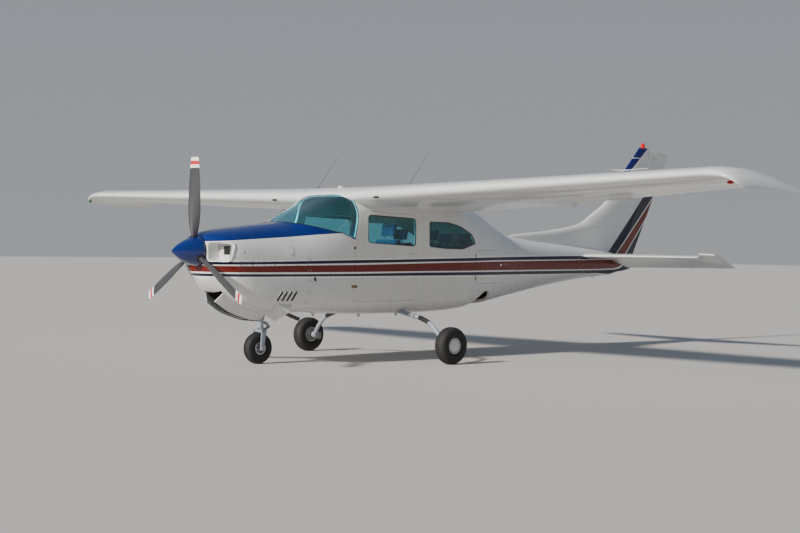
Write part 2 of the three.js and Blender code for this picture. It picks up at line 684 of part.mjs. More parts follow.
function droop(ring) {
  const pivot = at(ELEVATOR_HINGE.station, 0, ELEVATOR_HINGE.height);
  const turn = new THREE.Matrix4().makeRotationY(-ELEVATOR_DROOP);
  return ring.map((point) => point.clone().sub(pivot).applyMatrix4(turn).add(pivot));
}

function stabiliserHalf() {
  const rows = [0, ELEVATOR_IN, STABILISER_END].map((y) => rowAt(STABILISER, y));
  const whole = loft(rows.map((row) => airfoilRing(row, 0, 0, 9)));
  const cutter = loft([0, ELEVATOR_IN, HORN_IN + 40].map((y) => rowAt(STABILISER, y))
    .map((row) => controlCutter(row, elevatorShare(row), 0)));
  return cut(whole, cutter);
}

function elevatorHalf() {
  const flat = [ELEVATOR_IN, TAIL_SPAN_HALF].map((y) => rowAt(STABILISER, y));
  const surface = loft(flat.map((row) => droop(controlRing(row, elevatorShare(row), 0))));
  const horn = loft([HORN_IN, TAIL_SPAN_HALF].map((y) => droop(airfoilRing(elevatorRow(y), 0, 0, 7))));
  return join(surface, horn);
}

const TORQUE_TUBE = 18;
const torqueTube = (radius, reach) => rod(
  at(ELEVATOR_HINGE.station, -reach, ELEVATOR_HINGE.height),
  at(ELEVATOR_HINGE.station, reach, ELEVATOR_HINGE.height), radius, 16);

function stabiliser() {
  const half = stabiliserHalf();
  return join(half, mirrored(half));
}

function elevator() {
  const half = elevatorHalf();
  return join(half, mirrored(half), torqueTube(TORQUE_TUBE, ELEVATOR_IN + 60));
}

// Fin and rudder
// Columns: height, leading-edge station, greatest half thickness, half thickness at the hinge
const FIN = [
  [1250, 5190, 44, 42],
  [1492, 5196, 44, 40],
  [1570, 5932, 46, 39],
  [1678, 6605, 50, 38],
  [1808, 6856, 50, 37],
  [1983, 7154, 48, 35],
  [2406, 7541, 40, 29],
  [2650, 7776, 34, 25],
  [2797, 7916, 26, 22],
];
// Columns: height, trailing-edge station, half thickness at the hinge
const RUDDER = [
  [1275, 7801, 40],
  [2015, 8211, 33],
  [2489, 8450, 27],
  [2650, 8560, 25],
  [2700, LENGTH, 24],
];
const RUDDER_HORN = [
  [8126, 2664], [8080, 2796], [8180, 2792], [8330, 2768], [8470, 2732], [LENGTH - 1, 2696], [8540, 2664]];
const RUDDER_NOTCH = [[8116, 2650], [8054, 2830], [8700, 2830], [8700, 2650]];

const rudderHingeStation = (z) => RUDDER_HINGE.lowStation
  + ((z - RUDDER_HINGE.low) * (RUDDER_HINGE.highStation - RUDDER_HINGE.lowStation))
  / (RUDDER_HINGE.high - RUDDER_HINGE.low);

function finRing([z, leading, half, hingeHalf], steps = 7) {
  const hinge = rudderHingeStation(z);
  const reach = 0.45 * (hinge - leading);
  const upper = Array.from({ length: steps + 1 }, (_, k) => {
    const angle = ((Math.PI / 2) * k) / steps;
    return [leading + reach * (1 - Math.cos(angle)), half * Math.sin(angle)];
  });
  const port = [...upper, [hinge, hingeHalf]];
  const starboard = port.slice(1).map(([s, y]) => [s, -y]).reverse();
  return [...port, ...starboard].map(([s, y]) => at(s, y, z));
}

function rudderRing(z, trailing, half, grow, steps = 7) {
  const hinge = rudderHingeStation(z);
  const nose = Array.from({ length: steps + 1 }, (_, k) => {
    const angle = Math.PI * (k / steps);
    return at(hinge - (half + grow) * Math.sin(angle), (half + grow) * Math.cos(angle), z);
  });
  const edge = grow ? half + grow : 3;
  const end = grow ? trailing + 200 : trailing;
  return [...nose, at(end, -edge, z), at(end, edge, z)];
}

function fin() {
  const whole = loft(FIN.map((row) => finRing(row)));
  const [[low, ...lowEnd], [high, ...highEnd]] = [RUDDER[0], RUDDER.at(-1)];
  const cutter = loft([[low - 60, ...lowEnd], ...RUDDER, [high + 200, ...highEnd]]
    .map(([z, trailing, half]) => rudderRing(z, trailing, half, RUN_GAP + 2)));
  return cut(whole, cutter, sidePrism(RUDDER_NOTCH, -100, 100), BODY_CLEAR);
}

const RUDDER_PIN = 10;

// The rudder's lower hinge pin, along its sloping axis
function rudderPin(radius, drop) {
  const pinAt = (z) => at(rudderHingeStation(z), 0, z);
  return rod(pinAt(RUDDER_HINGE.low + 30), pinAt(RUDDER_HINGE.low - drop), radius, 12);
}

function rudder() {
  const surface = loft(RUDDER.map(([z, trailing, half]) => rudderRing(z, trailing, half, 0)));
  return join(surface, sidePrism(RUDDER_HORN, -22, 22), rudderPin(RUDDER_PIN, 30));
}

function tailCone() {
  const shell = cut(common(BODY, block(CABIN_END + HALF, 8000, -900, 900, 0, 2300)),
    hull(TAIL_WALL, 2124, 7719));
  const slot = loft([0, ELEVATOR_IN, STABILISER_END].map((y) => {
    const [, leading, height, chord, thickness, tilt] = rowAt(STABILISER, y);
    return airfoilRing([y, leading - 1, height, chord + 2, thickness + 0.0014, tilt], 0, 0, 9);
  }));
  const through = common(join(slot, mirrored(slot)),
    block(6400, ELEVATOR_HINGE.station - 14, -400, 400, 1100, 1400));
  const tieDown = block(6880, 6960, -40, 40, 930, 990);
  return cut(join(shell, tieDown), through, torqueTube(TORQUE_TUBE + PIN_GAP, 400),
    rudderPin(RUDDER_PIN + PIN_GAP, 60));
}

function beacon() {
  const dome = lathe([[0, 0], [36, 0], [36, 10], [30, 14], [30, 44], [24, 60], [13, 70], [0, 73]], 12);
  return moved(dome, at(8000, 0, 2797 + SEAT_GAP), new THREE.Euler(Math.PI / 2, 0, 0));
}

function moved(solid, place, turn = new THREE.Euler()) {
  const geometry = geometryOf(solid);
  geometry.applyQuaternion(new THREE.Quaternion().setFromEuler(turn));
  geometry.translate(place.x, place.y, place.z);
  return solidOf(geometry);
}

// Landing gear
const strutAt = (z, y = 0) => at(NOSE_WHEEL.station + (z - NOSE_WHEEL.height) * STRUT_RAKE, y, z);
const STRUT = { bottom: 400, top: 900, radius: 34, piston: 23 };

function noseLeg() {
  const trunnion = 870;
  const station = NOSE_X - strutAt(trunnion).x;
  const arms = [180, -180].map(
    (y) => rod(at(station, y, trunnion), at(FIREWALL - SEAT_GAP, y, trunnion), 20, 12));
  return join(
    rod(strutAt(STRUT.bottom), strutAt(STRUT.top), STRUT.radius, 20),
    rod(at(station, -195, trunnion), at(station, 195, trunnion), 22, 16),
    ...arms);
}

function noseFork() {
  const { station, height } = NOSE_WHEEL;
  const crown = block(station - 12, station + 62, -90, 90, 359, 380);
  const leg = [[station - 8, 380], [station + 58, 380], [station + 30, 240], [station + 20, 150],
    [station - 18, 150], [station - 20, 200]];
  const link = [at(1222, 0, 372), at(1312, 0, 412), at(1250, 0, 468)];
  return join(
    rod(strutAt(370), strutAt(STRUT.bottom - PIN_GAP), STRUT.piston, 16), crown,
    sidePrism(leg, 76, 90), sidePrism(leg, -90, -76),
    rod(at(station, -92, height), at(station, 92, height), 12, 16),
    rod(at(1200, 0, 370), link[1], 10, 8), rod(link[1], link[2], 10, 8),
    block(1240, 1262, -30, 30, 458, 478));
}

const WHEEL_SEGMENTS = 26;

function tyre({ radius, width, bead }) {
  const outer = radius / Math.cos(Math.PI / WHEEL_SEGMENTS);
  const half = width / 2;
  const depth = outer - bead;
  const side = [
    [bead, 0.72], [bead + 0.1 * depth, 0.74], [bead + 0.25 * depth, 0.93], [bead + 0.5 * depth, 1],
    [bead + 0.75 * depth, 0.93], [bead + 0.92 * depth, 0.68], [outer, 0.36],
  ].map(([r, share]) => [r, share * half]);
  const profile = [...side, ...side.map(([r, y]) => [r, -y]).reverse()];
  return lathe([...profile, profile[0]], WHEEL_SEGMENTS, Math.PI / WHEEL_SEGMENTS);
}

function rim({ width, bead, radius }, bore, capped) {
  const outer = bead - SEAT_GAP;
  const flange = bead + 0.08 * (radius - bead);
  const seat = 0.37 * width + SEAT_GAP;
  const lip = seat + 5;
  const dish = 0.3 * width;
  const profile = [
    [bore, -dish], [0.72 * outer, -dish], [0.85 * outer, -lip], [flange, -lip], [flange, -seat],
    [outer, -seat], [outer, seat], [flange, seat], [flange, lip], [0.85 * outer, lip],
    [0.72 * outer, dish], [bore, dish]];
  const hub = lathe([...profile, profile[0]], WHEEL_SEGMENTS, Math.PI / WHEEL_SEGMENTS);
  if (!capped) return hub;
  const cap = lathe([[0, dish - 4], [0.78 * outer, dish - 4], [0.78 * outer, dish + 6], [0, dish + 9]], 16);
  const disc = lathe([[bore, -dish - 28], [74, -dish - 28], [74, -dish - 20], [bore + 12, -dish - 20],
    [bore + 12, -dish + 4], [bore, -dish + 4], [bore, -dish - 28]], 16);
  return join(hub, cap, disc);
}

const AXLE = 19;
// Columns: distance from the centreline, height
const LEG_PATH = [
  [330, 592], [480, 562], [640, 535], [800, 502], [950, 445], [1070, 352], [1140, 262], [1160, 213]];

function mainLeg() {
  const { station, height, y } = MAIN_WHEEL;
  const path = LEG_PATH.map(([across, z]) => at(station - 20 * (1 - across / 1160), across, z));
  const leg = cut(tube(path, 25, 13), BODY_CLEAR);
  const knuckle = rod(at(station, 1128, height), at(station, 1196, height), 38, 16);
  const axle = rod(at(station, 1150, height), at(station, y + 36, height), AXLE, 16);
  const caliper = join(
    block(station + 20, station + 70, 1168, 1196, height - 50, height + 20),
    block(station + 50, station + 108, 1168, 1210, height - 60, height + 30));
  const step = block(station - 75, station + 45, 870, 950, 502, 512);
  const post = rod(at(station - 5, 905, 455), at(station - 5, 905, 508), 12, 10);
  return join(leg, knuckle, axle, caliper, step, post);
}

// Propeller, in its own frame with the hub at the origin
// Columns: radius, chord, thickness, pitch in degrees
const BLADE = [
  [60, 62, 58, 45],
  [170, 66, 54, 44],
  [230, 92, 40, 40],
  [340, 130, 26, 33],
  [500, 150, 19, 27],
  [700, 144, 14, 22],
  [900, 124, 10, 18],
  [990, 108, 8, 16],
  [PROPELLER_RADIUS, 84, 6, 16],
];

function blade() {
  return loft(BLADE.map(([radius, chord, thickness, pitch]) => {
    const angle = THREE.MathUtils.degToRad(pitch);
    return Array.from({ length: 12 }, (_, k) => {
      const turn = (2 * Math.PI * k) / 12;
      const [u, v] = [(chord / 2) * Math.cos(turn), (thickness / 2) * Math.sin(turn)];
      return new THREE.Vector3(
        u * Math.sin(angle) + v * Math.cos(angle), -u * Math.cos(angle) + v * Math.sin(angle), radius);
    });
  }));
}

const SPINNER_STEPS = 8;
const SPINNER_POINT = 315; // length of its pointed part
const SPINNER_CURVE = (SPINNER_RADIUS ** 2 + SPINNER_POINT ** 2) / (2 * SPINNER_RADIUS);

function spinner(grow) {
  const base = 340 - HUB.station;
  const profile = [[0, -base - grow]];
  profile.push([SPINNER_RADIUS + grow, -base - grow]);
  for (let k = 0; k <= SPINNER_STEPS; k++) {
    const run = SPINNER_POINT * (k / SPINNER_STEPS);
    const radius = Math.sqrt(SPINNER_CURVE ** 2 - run ** 2) - SPINNER_CURVE + SPINNER_RADIUS;
    profile.push([k === SPINNER_STEPS ? 0 : radius + grow, HUB.station - SPINNER_POINT + run]);
  }
  const turned = lathe(profile, 24);
  return moved(turned, new THREE.Vector3(), new THREE.Euler(0, 0, -Math.PI / 2));
}

// Assembly
const aircraft = new THREE.Group();

function add(name, solid, material, parent = aircraft) {
  const mesh = new THREE.Mesh(geometryOf(solid), material);
  mesh.name = name;
  parent.add(mesh);
}

function groupAt(place, parent = aircraft) {
  const group = new THREE.Group();
  group.position.copy(place);
  parent.add(group);
  return group;
}

add('cowl_upper', cowlUpper(), BLUE);
add('cowl_lower', cowlLower(), WHITE);
add('engine', engine(), CAST);
add('firewall', firewall(), BARE);
add('fuselage_side_left', sidePanel(PORT), WHITE);
add('fuselage_side_right', sidePanel(STARBOARD), WHITE);
add('wheel_well_left', wheelWell(PORT), WHITE);
add('wheel_well_right', wheelWell(STARBOARD), WHITE);
add('cabin_roof', roof(), WHITE);
add('belly_panel', belly(), WHITE);
add('tail_cone', tailCone(), WHITE);
add('windshield', pane(WINDSHIELD), TINTED);
const rearPane = pane(REAR_WINDOW);
add('rear_window_left', common(rearPane, PORT), TINTED);
add('rear_window_right', common(rearPane, STARBOARD), TINTED);
add('cabin_floor', cabinFloor(), CARPET);
add('rear_bulkhead', rearBulkhead(), CARPET);
add('instrument_panel', instrumentPanel(), TRIM);
SEATS.forEach((row) => add(row[0], seat(row), NAVY_CLOTH));

const doorPane = common(pane(DOOR_WINDOW), PORT);
for (const [side, across] of [['left', (solid) => solid], ['right', mirrored]]) {
  add(`wing_${side}`, across(wing()), WHITE);
  add(`wingtip_${side}`, across(wingtip()), WHITE);
  add(`aileron_${side}`, across(aileron()), WHITE);
  add(`flap_${side}`, across(flap()), WHITE);
  add(`door_${side}`, across(doorPanel(DOOR, DOOR_HINGE, DOOR_WINDOW)), WHITE);
  add(`door_glass_${side}`, across(doorPane), TINTED);
  add(`nose_gear_door_${side}`, across(noseGearDoor()), WHITE);
  add(`cowl_flap_${side}`, across(cowlFlap()), WHITE);
  add(`main_leg_${side}`, across(mainLeg()), LEG_PAINT);
}
add('baggage_door', doorPanel(BAGGAGE_DOOR, BAGGAGE_HINGE), WHITE);

add('stabiliser', stabiliser(), WHITE);
add('elevator', elevator(), WHITE);
add('fin', fin(), WHITE);
add('rudder', rudder(), WHITE);
add('beacon', beacon(), RED_LENS);

add('nose_leg', noseLeg(), LEG_PAINT);
add('nose_fork', noseFork(), LEG_PAINT);
const noseWheel = groupAt(at(NOSE_WHEEL.station, 0, NOSE_WHEEL.height));
add('nose_tyre', tyre(NOSE_WHEEL), RUBBER, noseWheel);
add('nose_rim', rim(NOSE_WHEEL, 12 + PIN_GAP, false), BARE, noseWheel);
for (const [side, sign] of [['left', 1], ['right', -1]]) {
  const wheel = groupAt(at(MAIN_WHEEL.station, sign * MAIN_WHEEL.y, MAIN_WHEEL.height));
  const hub = rim(MAIN_WHEEL, AXLE + PIN_GAP, true);
  add(`main_tyre_${side}`, tyre(MAIN_WHEEL), RUBBER, wheel);
  add(`main_rim_${side}`, sign > 0 ? hub : mirrored(hub), BARE, wheel);
}

const propeller = groupAt(at(HUB.station, 0, HUB.height));
add('spinner', spinner(0), BLUE, propeller);
const trimmedBlade = cut(blade(), spinner(SEAT_GAP));
for (let k = 0; k < BLADES; k++) {
  const arm = groupAt(new THREE.Vector3(), propeller);
  arm.rotation.x = (2 * Math.PI * k) / BLADES;
  add(`blade_${k + 1}`, trimmedBlade, CHARCOAL, arm);
}

export default aircraft;
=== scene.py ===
"""Light aircraft, dressed: paint, glass, cabin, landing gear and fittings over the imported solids.

Metres, in the solids' own frame: +X forward, +Y to port, +Z up, the origin on the ground under the
middle of the length. The tables give stations, distances aft of the spinner's tip, and heights in
millimetres.
"""

import logging
import math
from contextlib import contextmanager
from dataclasses import dataclass
from enum import Enum
from typing import Callable, Iterator, Sequence

import bpy
import numpy as np
from mathutils import Matrix, Vector


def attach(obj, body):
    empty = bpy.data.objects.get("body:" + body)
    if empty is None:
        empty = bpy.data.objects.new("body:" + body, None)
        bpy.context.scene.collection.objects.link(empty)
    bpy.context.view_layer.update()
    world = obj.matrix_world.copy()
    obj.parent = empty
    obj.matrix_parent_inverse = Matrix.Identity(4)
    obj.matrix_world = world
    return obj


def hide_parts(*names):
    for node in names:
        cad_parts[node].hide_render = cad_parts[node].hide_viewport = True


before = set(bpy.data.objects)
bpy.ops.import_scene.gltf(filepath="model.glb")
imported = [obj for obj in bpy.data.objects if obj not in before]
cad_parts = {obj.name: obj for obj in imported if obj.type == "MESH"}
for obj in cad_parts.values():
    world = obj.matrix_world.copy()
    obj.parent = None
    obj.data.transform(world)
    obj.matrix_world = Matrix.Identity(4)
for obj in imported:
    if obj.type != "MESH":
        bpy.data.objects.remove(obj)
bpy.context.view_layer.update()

log = logging.getLogger("aircraft")
Piece = bpy.types.Object
Row = Sequence[float]
Rows = Sequence[Row]
Colour = tuple[float, float, float]

MM = 0.001
LENGTH = 8585.0
NOSE_X = LENGTH / 2 * MM
WELD = 2e-5
FAR = 2000.0
PROBE_START = 5000
SIDES = ((1, "left"), (-1, "right"))
HUB_HEIGHT = 1255


def at(station: float, y: float, z: float) -> Vector:
    """The place, in metres, of a station, side distance and height in millimetres."""
    return Vector((NOSE_X - station * MM, y * MM, z * MM))


# Modelling bench
def only(piece: Piece) -> None:
    """Selects one piece and nothing else, and makes it the active one."""
    bpy.ops.object.select_all(action="DESELECT")
    piece.hide_set(False)
    piece.select_set(True)
    bpy.context.view_layer.objects.active = piece


@contextmanager
def editing(piece: Piece, kind: str = "VERT") -> Iterator[None]:
    """Opens a piece in edit mode with all of it selected.

    Args:
        piece: the piece to edit.
        kind: what is selected, VERT, EDGE or FACE.
    """
    only(piece)
    bpy.ops.object.mode_set(mode="EDIT")
    bpy.ops.mesh.select_mode(type=kind)
    bpy.ops.mesh.select_all(action="SELECT")
    yield
    bpy.ops.object.mode_set(mode="OBJECT")


def added(name: str, operator: Callable, **settings: object) -> Piece:
    """Adds a primitive and settles its place into its mesh.

    Args:
        name: the piece's name.
        operator: the primitive's operator.
        settings: the operator's own settings.

    Returns:
        The new piece.
    """
    bpy.ops.object.select_all(action="DESELECT")
    operator(**settings)
    piece = bpy.context.object
    piece.name = name
    bpy.ops.object.transform_apply(location=True, rotation=True, scale=True)
    return piece


def modified(piece: Piece, kind: str, **settings: object) -> Piece:
    """Puts a modifier on a piece and applies it.

    Args:
        piece: the piece to change.
        kind: the modifier's type.
        settings: the modifier's own settings.

    Returns:
        The same piece.
    """
    modifier = piece.modifiers.new(kind.lower(), kind)
    for name, value in settings.items():
        setattr(modifier, name, value)
    only(piece)
    bpy.ops.object.modifier_apply(modifier=modifier.name)
    return piece


def full_turn(count: int) -> np.ndarray:
    """Evenly spaced angles over one turn."""
    return np.linspace(0, 2 * math.pi, count, endpoint=False)


def place_vertices(piece: Piece, places: np.ndarray) -> None:
    """Moves a piece's vertices to the given places, in order."""
    piece.data.vertices.foreach_set("co", np.asarray(places, np.float32).ravel())
    piece.data.update()


def loft(name: str, rings: np.ndarray, ends: bool = True) -> Piece:
    """A skin through rings that have the same number of points.

    Args:
        name: the piece's name.
        rings: an array of rows, points and coordinates, each row a closed ring.
        ends: whether the first and last ring are closed with a face.

    Returns:
        The new piece.
    """
    rows, columns = rings.shape[:2]
    piece = added(name, bpy.ops.mesh.primitive_grid_add, x_subdivisions=columns,
                  y_subdivisions=rows - 1)
    place_vertices(piece, np.concatenate([rings, rings[:, :1]], axis=1))
    with editing(piece):
        bpy.ops.mesh.remove_doubles(threshold=WELD)
        if ends:
            bpy.ops.mesh.fill_holes(sides=0)
        bpy.ops.mesh.normals_make_consistent(inside=False)
    return piece


def prism(name: str, outline: Sequence[Vector], shift: Vector) -> Piece:
    """A flat outline drawn out along a shift.

    Args:
        name: the piece's name.
        outline: the corners of one face.
        shift: how far, and which way, it is drawn out.

    Returns:
        The new piece.
    """
    piece = added(name, bpy.ops.mesh.primitive_circle_add, vertices=len(outline), fill_type="NGON")
    place_vertices(piece, np.array([list(point) for point in outline]))
    with editing(piece, "FACE"):
        bpy.ops.mesh.extrude_region_move(TRANSFORM_OT_translate={"value": shift})
        bpy.ops.mesh.select_all(action="SELECT")
        bpy.ops.mesh.normals_make_consistent(inside=False)
    return piece


def side_prism(name: str, outline: Rows, y0: float, y1: float) -> Piece:
    """A prism across the aircraft, from an outline of stations and heights."""
    points = [at(station, y0, z) for station, z in outline]
    return prism(name, points, Vector((0, (y1 - y0) * MM, 0)))


def plan_prism(name: str, outline: Rows, z0: float, z1: float) -> Piece:
    """An upright prism, from an outline of stations and side distances."""
    points = [at(station, y, z0) for station, y in outline]
    return prism(name, points, Vector((0, 0, (z1 - z0) * MM)))


def places_of(piece: Piece, kind: str = "co") -> np.ndarray:
    """A piece's vertex places, or its vertex normals.

    Args:
        piece: the piece.
        kind: co for places, normal for normals.

    Returns:
        One row for each vertex.
    """
    values = np.empty(len(piece.data.vertices) * 3, np.float32)
    piece.data.vertices.foreach_get(kind, values)
    return values.reshape(-1, 3).astype(float)


def surface(name: str, station: float, y: float, way: int = -1) -> float:
    """Where a piece is first met from above or below.

    Args:
        name: the piece's name.
        station: where it is met.
        y: where it is met.
        way: -1 to look down, 1 to look up.

    Returns:
        The height in millimetres.
    """
    bpy.context.view_layer.update()
    start = at(station + 0.3, y + 0.7, -way * PROBE_START)
    met, spot, _, _ = bpy.data.objects[name].ray_cast(start, Vector((0, 0, way)))
    if not met:
        raise ValueError(f"no surface of {name} at station {station}")
    return spot.z / MM


def lathe(name: str, profile: Rows, centre: Vector, axis: Row, steps: int = 64) -> Piece:
    """A profile of radius and distance pairs, in millimetres, spun round an axis.

    Args:
        name: the piece's name.
        profile: a closed run of radius and distance along the axis.
        centre: where distance 0 lies.
        axis: the way distances run.
        steps: how many steps the full turn takes.

    Returns:
        The new piece.
    """
    along = Vector(axis).normalized()
    out = along.orthogonal().normalized()
    piece = added(name, bpy.ops.mesh.primitive_circle_add, vertices=len(profile))
    places = [centre + along * (run * MM) + out * (radius * MM) for radius, run in profile]
    place_vertices(piece, np.array([list(place) for place in places]))
    with editing(piece):
        bpy.ops.mesh.spin(steps=steps, angle=2 * math.pi, center=centre, axis=along)
        bpy.ops.mesh.select_all(action="SELECT")
        bpy.ops.mesh.remove_doubles(threshold=WELD)
        bpy.ops.mesh.delete_loose(use_faces=False)
        bpy.ops.mesh.select_all(action="SELECT")
        bpy.ops.mesh.normals_make_consistent(inside=False)
    return piece


def soften(piece: Piece, width: float, segments: int = 2, angle: float = 40) -> Piece:
    """Rounds a piece's sharp edges.

    Args:
        piece: the piece to round.
        width: the bevel's width in millimetres.
        segments: how many facets the bevel has.
        angle: the least angle, in degrees, that counts as sharp.

    Returns:
        The same piece.
    """
    with editing(piece, "EDGE"):
        bpy.ops.mesh.select_all(action="DESELECT")
        bpy.ops.mesh.edges_select_sharp(sharpness=math.radians(angle))
        bpy.ops.mesh.bevel(offset=width * MM, segments=segments, affect="EDGES")
    return piece


def block(name: str, stations: Row, across: Row, heights: Row, edge: float = 2) -> Piece:
    """A box between two stations, side distances and heights, with rounded edges.

    Args:
        name: the piece's name.
        stations: the first and last station.
        across: the first and last side distance.
        heights: the lowest and highest height.
        edge: the bevel's width in millimetres.

    Returns:
        The new piece.
    """
    low, high = (at(s, y, z) for s, y, z in zip(stations, across, heights))
    size = [abs(value) for value in high - low]
    piece = added(name, bpy.ops.mesh.primitive_cube_add, size=1, location=(low + high) / 2,
                  scale=size)
    return soften(piece, edge) if edge else piece


def rod(name: str, start: Vector, end: Vector, radius: float, edge: float = 0,
        sides: int = 24, tip: float | None = None) -> Piece:
    """A round bar between two places.

    Args:
        name: the piece's name.
        start: the middle of one end.
        end: the middle of the other end.
        radius: in millimetres.
        edge: the bevel's width at its ends.
        sides: how many facets it has around.
        tip: the radius at the end, where it tapers.

    Returns:
        The new piece.
    """
    line = end - start
    piece = added(name, bpy.ops.mesh.primitive_cone_add, vertices=sides, radius1=radius * MM,
                  radius2=(radius if tip is None else tip) * MM, depth=line.length,
                  location=(start + end) / 2, rotation=line.to_track_quat("Z", "X").to_euler())
    return soften(piece, edge, angle=60) if edge else piece


def smooth_path(points: Sequence[Vector], steps: int) -> list[Vector]:
    """A run of places on one smooth curve through the given points.

    Args:
        points: what the curve goes through.
        steps: how many places lie between two points.

    Returns:
        The places, the first and last points among them.
    """
    padded = [points[0] * 2 - points[1], *points, points[-1] * 2 - points[-2]]
    places = []
    for before, here, there, after in zip(padded, padded[1:], padded[2:], padded[3:]):
        for k in range(steps):
            t = k / steps
            places.append(0.5 * (2 * here + (there - before) * t
                                 + (2 * before - 5 * here + 4 * there - after) * t ** 2
                                 + (3 * here - before - 3 * there + after) * t ** 3))
    return [*places, points[-1].copy()]


def tube(name: str, points: Sequence[Vector], radii: float | Row, steps: int = 6,
         sides: int = 20, flat: float = 1) -> Piece:
    """A tube along a smooth path.

    Args:
        name: the piece's name.
        points: what its middle goes through.
        radii: its radius in millimetres, or the radii at its two ends.
        steps: how many rings lie between two points.
        sides: how many facets it has around.
        flat: its height as a share of its breadth.

    Returns:
        The new piece.
    """
    path = smooth_path(points, steps)
    first, last = radii if isinstance(radii, (tuple, list)) else (radii, radii)
    side = (path[1] - path[0]).cross(Vector((1, 0.01, 0.02))).normalized()
    rings = []
    for k, place in enumerate(path):
        run = (path[min(k + 1, len(path) - 1)] - path[max(k - 1, 0)]).normalized()
        side = (side - run * side.dot(run)).normalized()
        up = run.cross(side)
        radius = (first + (last - first) * k / (len(path) - 1)) * MM
        rings.append([list(place + side * (radius * flat * math.cos(turn))
                           + up * (radius * math.sin(turn))) for turn in full_turn(sides)])
    return loft(name, np.array(rings))


def join(name: str, pieces: Sequence[Piece]) -> Piece:
    """Makes several pieces into one and names it.

    Args:
        name: the joined piece's name.
        pieces: what is joined.

    Returns:
        The joined piece.
    """
    only(pieces[0])
    for other in pieces[1:]:
        other.select_set(True)
    bpy.ops.object.join()
    pieces[0].name = name
    return pieces[0]


def copy_of(piece: Piece, name: str, change: Matrix | None = None) -> Piece:
    """A copy with a mesh of its own.

    Args:
        piece: what is copied.
        name: the copy's name.
        change: how the copy's mesh is moved, turned or mirrored.

    Returns:
        The copy.
    """
    only(piece)
    bpy.ops.object.duplicate()
    twin = bpy.context.object
    twin.name = name
    if change is not None:
        twin.data.transform(change)
        if change.determinant() < 0:
            with editing(twin):
                bpy.ops.mesh.flip_normals()
    return twin


MIRROR = Matrix.Scale(-1, 4, (0, 1, 0))


def cut(piece: Piece, tool: Piece, operation: str = "DIFFERENCE", spent: bool = True) -> Piece:
    """Cuts a piece with another.

    Args:
        piece: what is cut.
        tool: the closed solid that cuts.
        operation: DIFFERENCE, INTERSECT or UNION.
        spent: whether the tool is removed afterwards.

    Returns:
        The same piece.
    """
    modified(piece, "BOOLEAN", operation=operation, solver="EXACT", object=tool)
    if spent:
        bpy.data.objects.remove(tool)
    return piece


def thicken(piece: Piece, wall: float, inner: int = 0) -> Piece:
    """Gives a skin its thickness, inwards.

    Args:
        piece: the open skin.
        wall: its thickness in millimetres.
        inner: how many material slots on the inner face's finish lies.

    Returns:
        The same piece.
    """
    return modified(piece, "SOLIDIFY", thickness=wall * MM, offset=-1, use_quality_normals=True,
                    material_offset=inner, material_offset_rim=0)


def present(piece: Piece, finishes: Sequence["Finish"], body: str = "airframe",
            stands_for: Sequence[str] = (), angle: float = 35) -> Piece:
    """Gives a finished piece its materials in their slots, smooth shading and body, and hides the
    solids that it stands for.

    Args:
        piece: the piece, whose place is in its mesh.
        finishes: the finishes of its material slots, in order.
        body: the body it moves with.
        stands_for: the solids that it replaces.
        angle: edges sharper than this stay sharp.

    Returns:
        The same piece.
    """
    only(piece)
    while len(piece.data.materials) < len(finishes):
        piece.data.materials.append(None)
    for index, look in enumerate(finishes):
        piece.data.materials[index] = look.material()
    while len(piece.data.materials) > len(finishes):
        piece.data.materials.pop()
    bpy.ops.object.shade_smooth_by_angle(angle=math.radians(angle))
    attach(piece, body)
    if stands_for:
        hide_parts(*stands_for)
    log.info("%s: %d faces, on %s", piece.name, len(piece.data.polygons), body)
    return piece


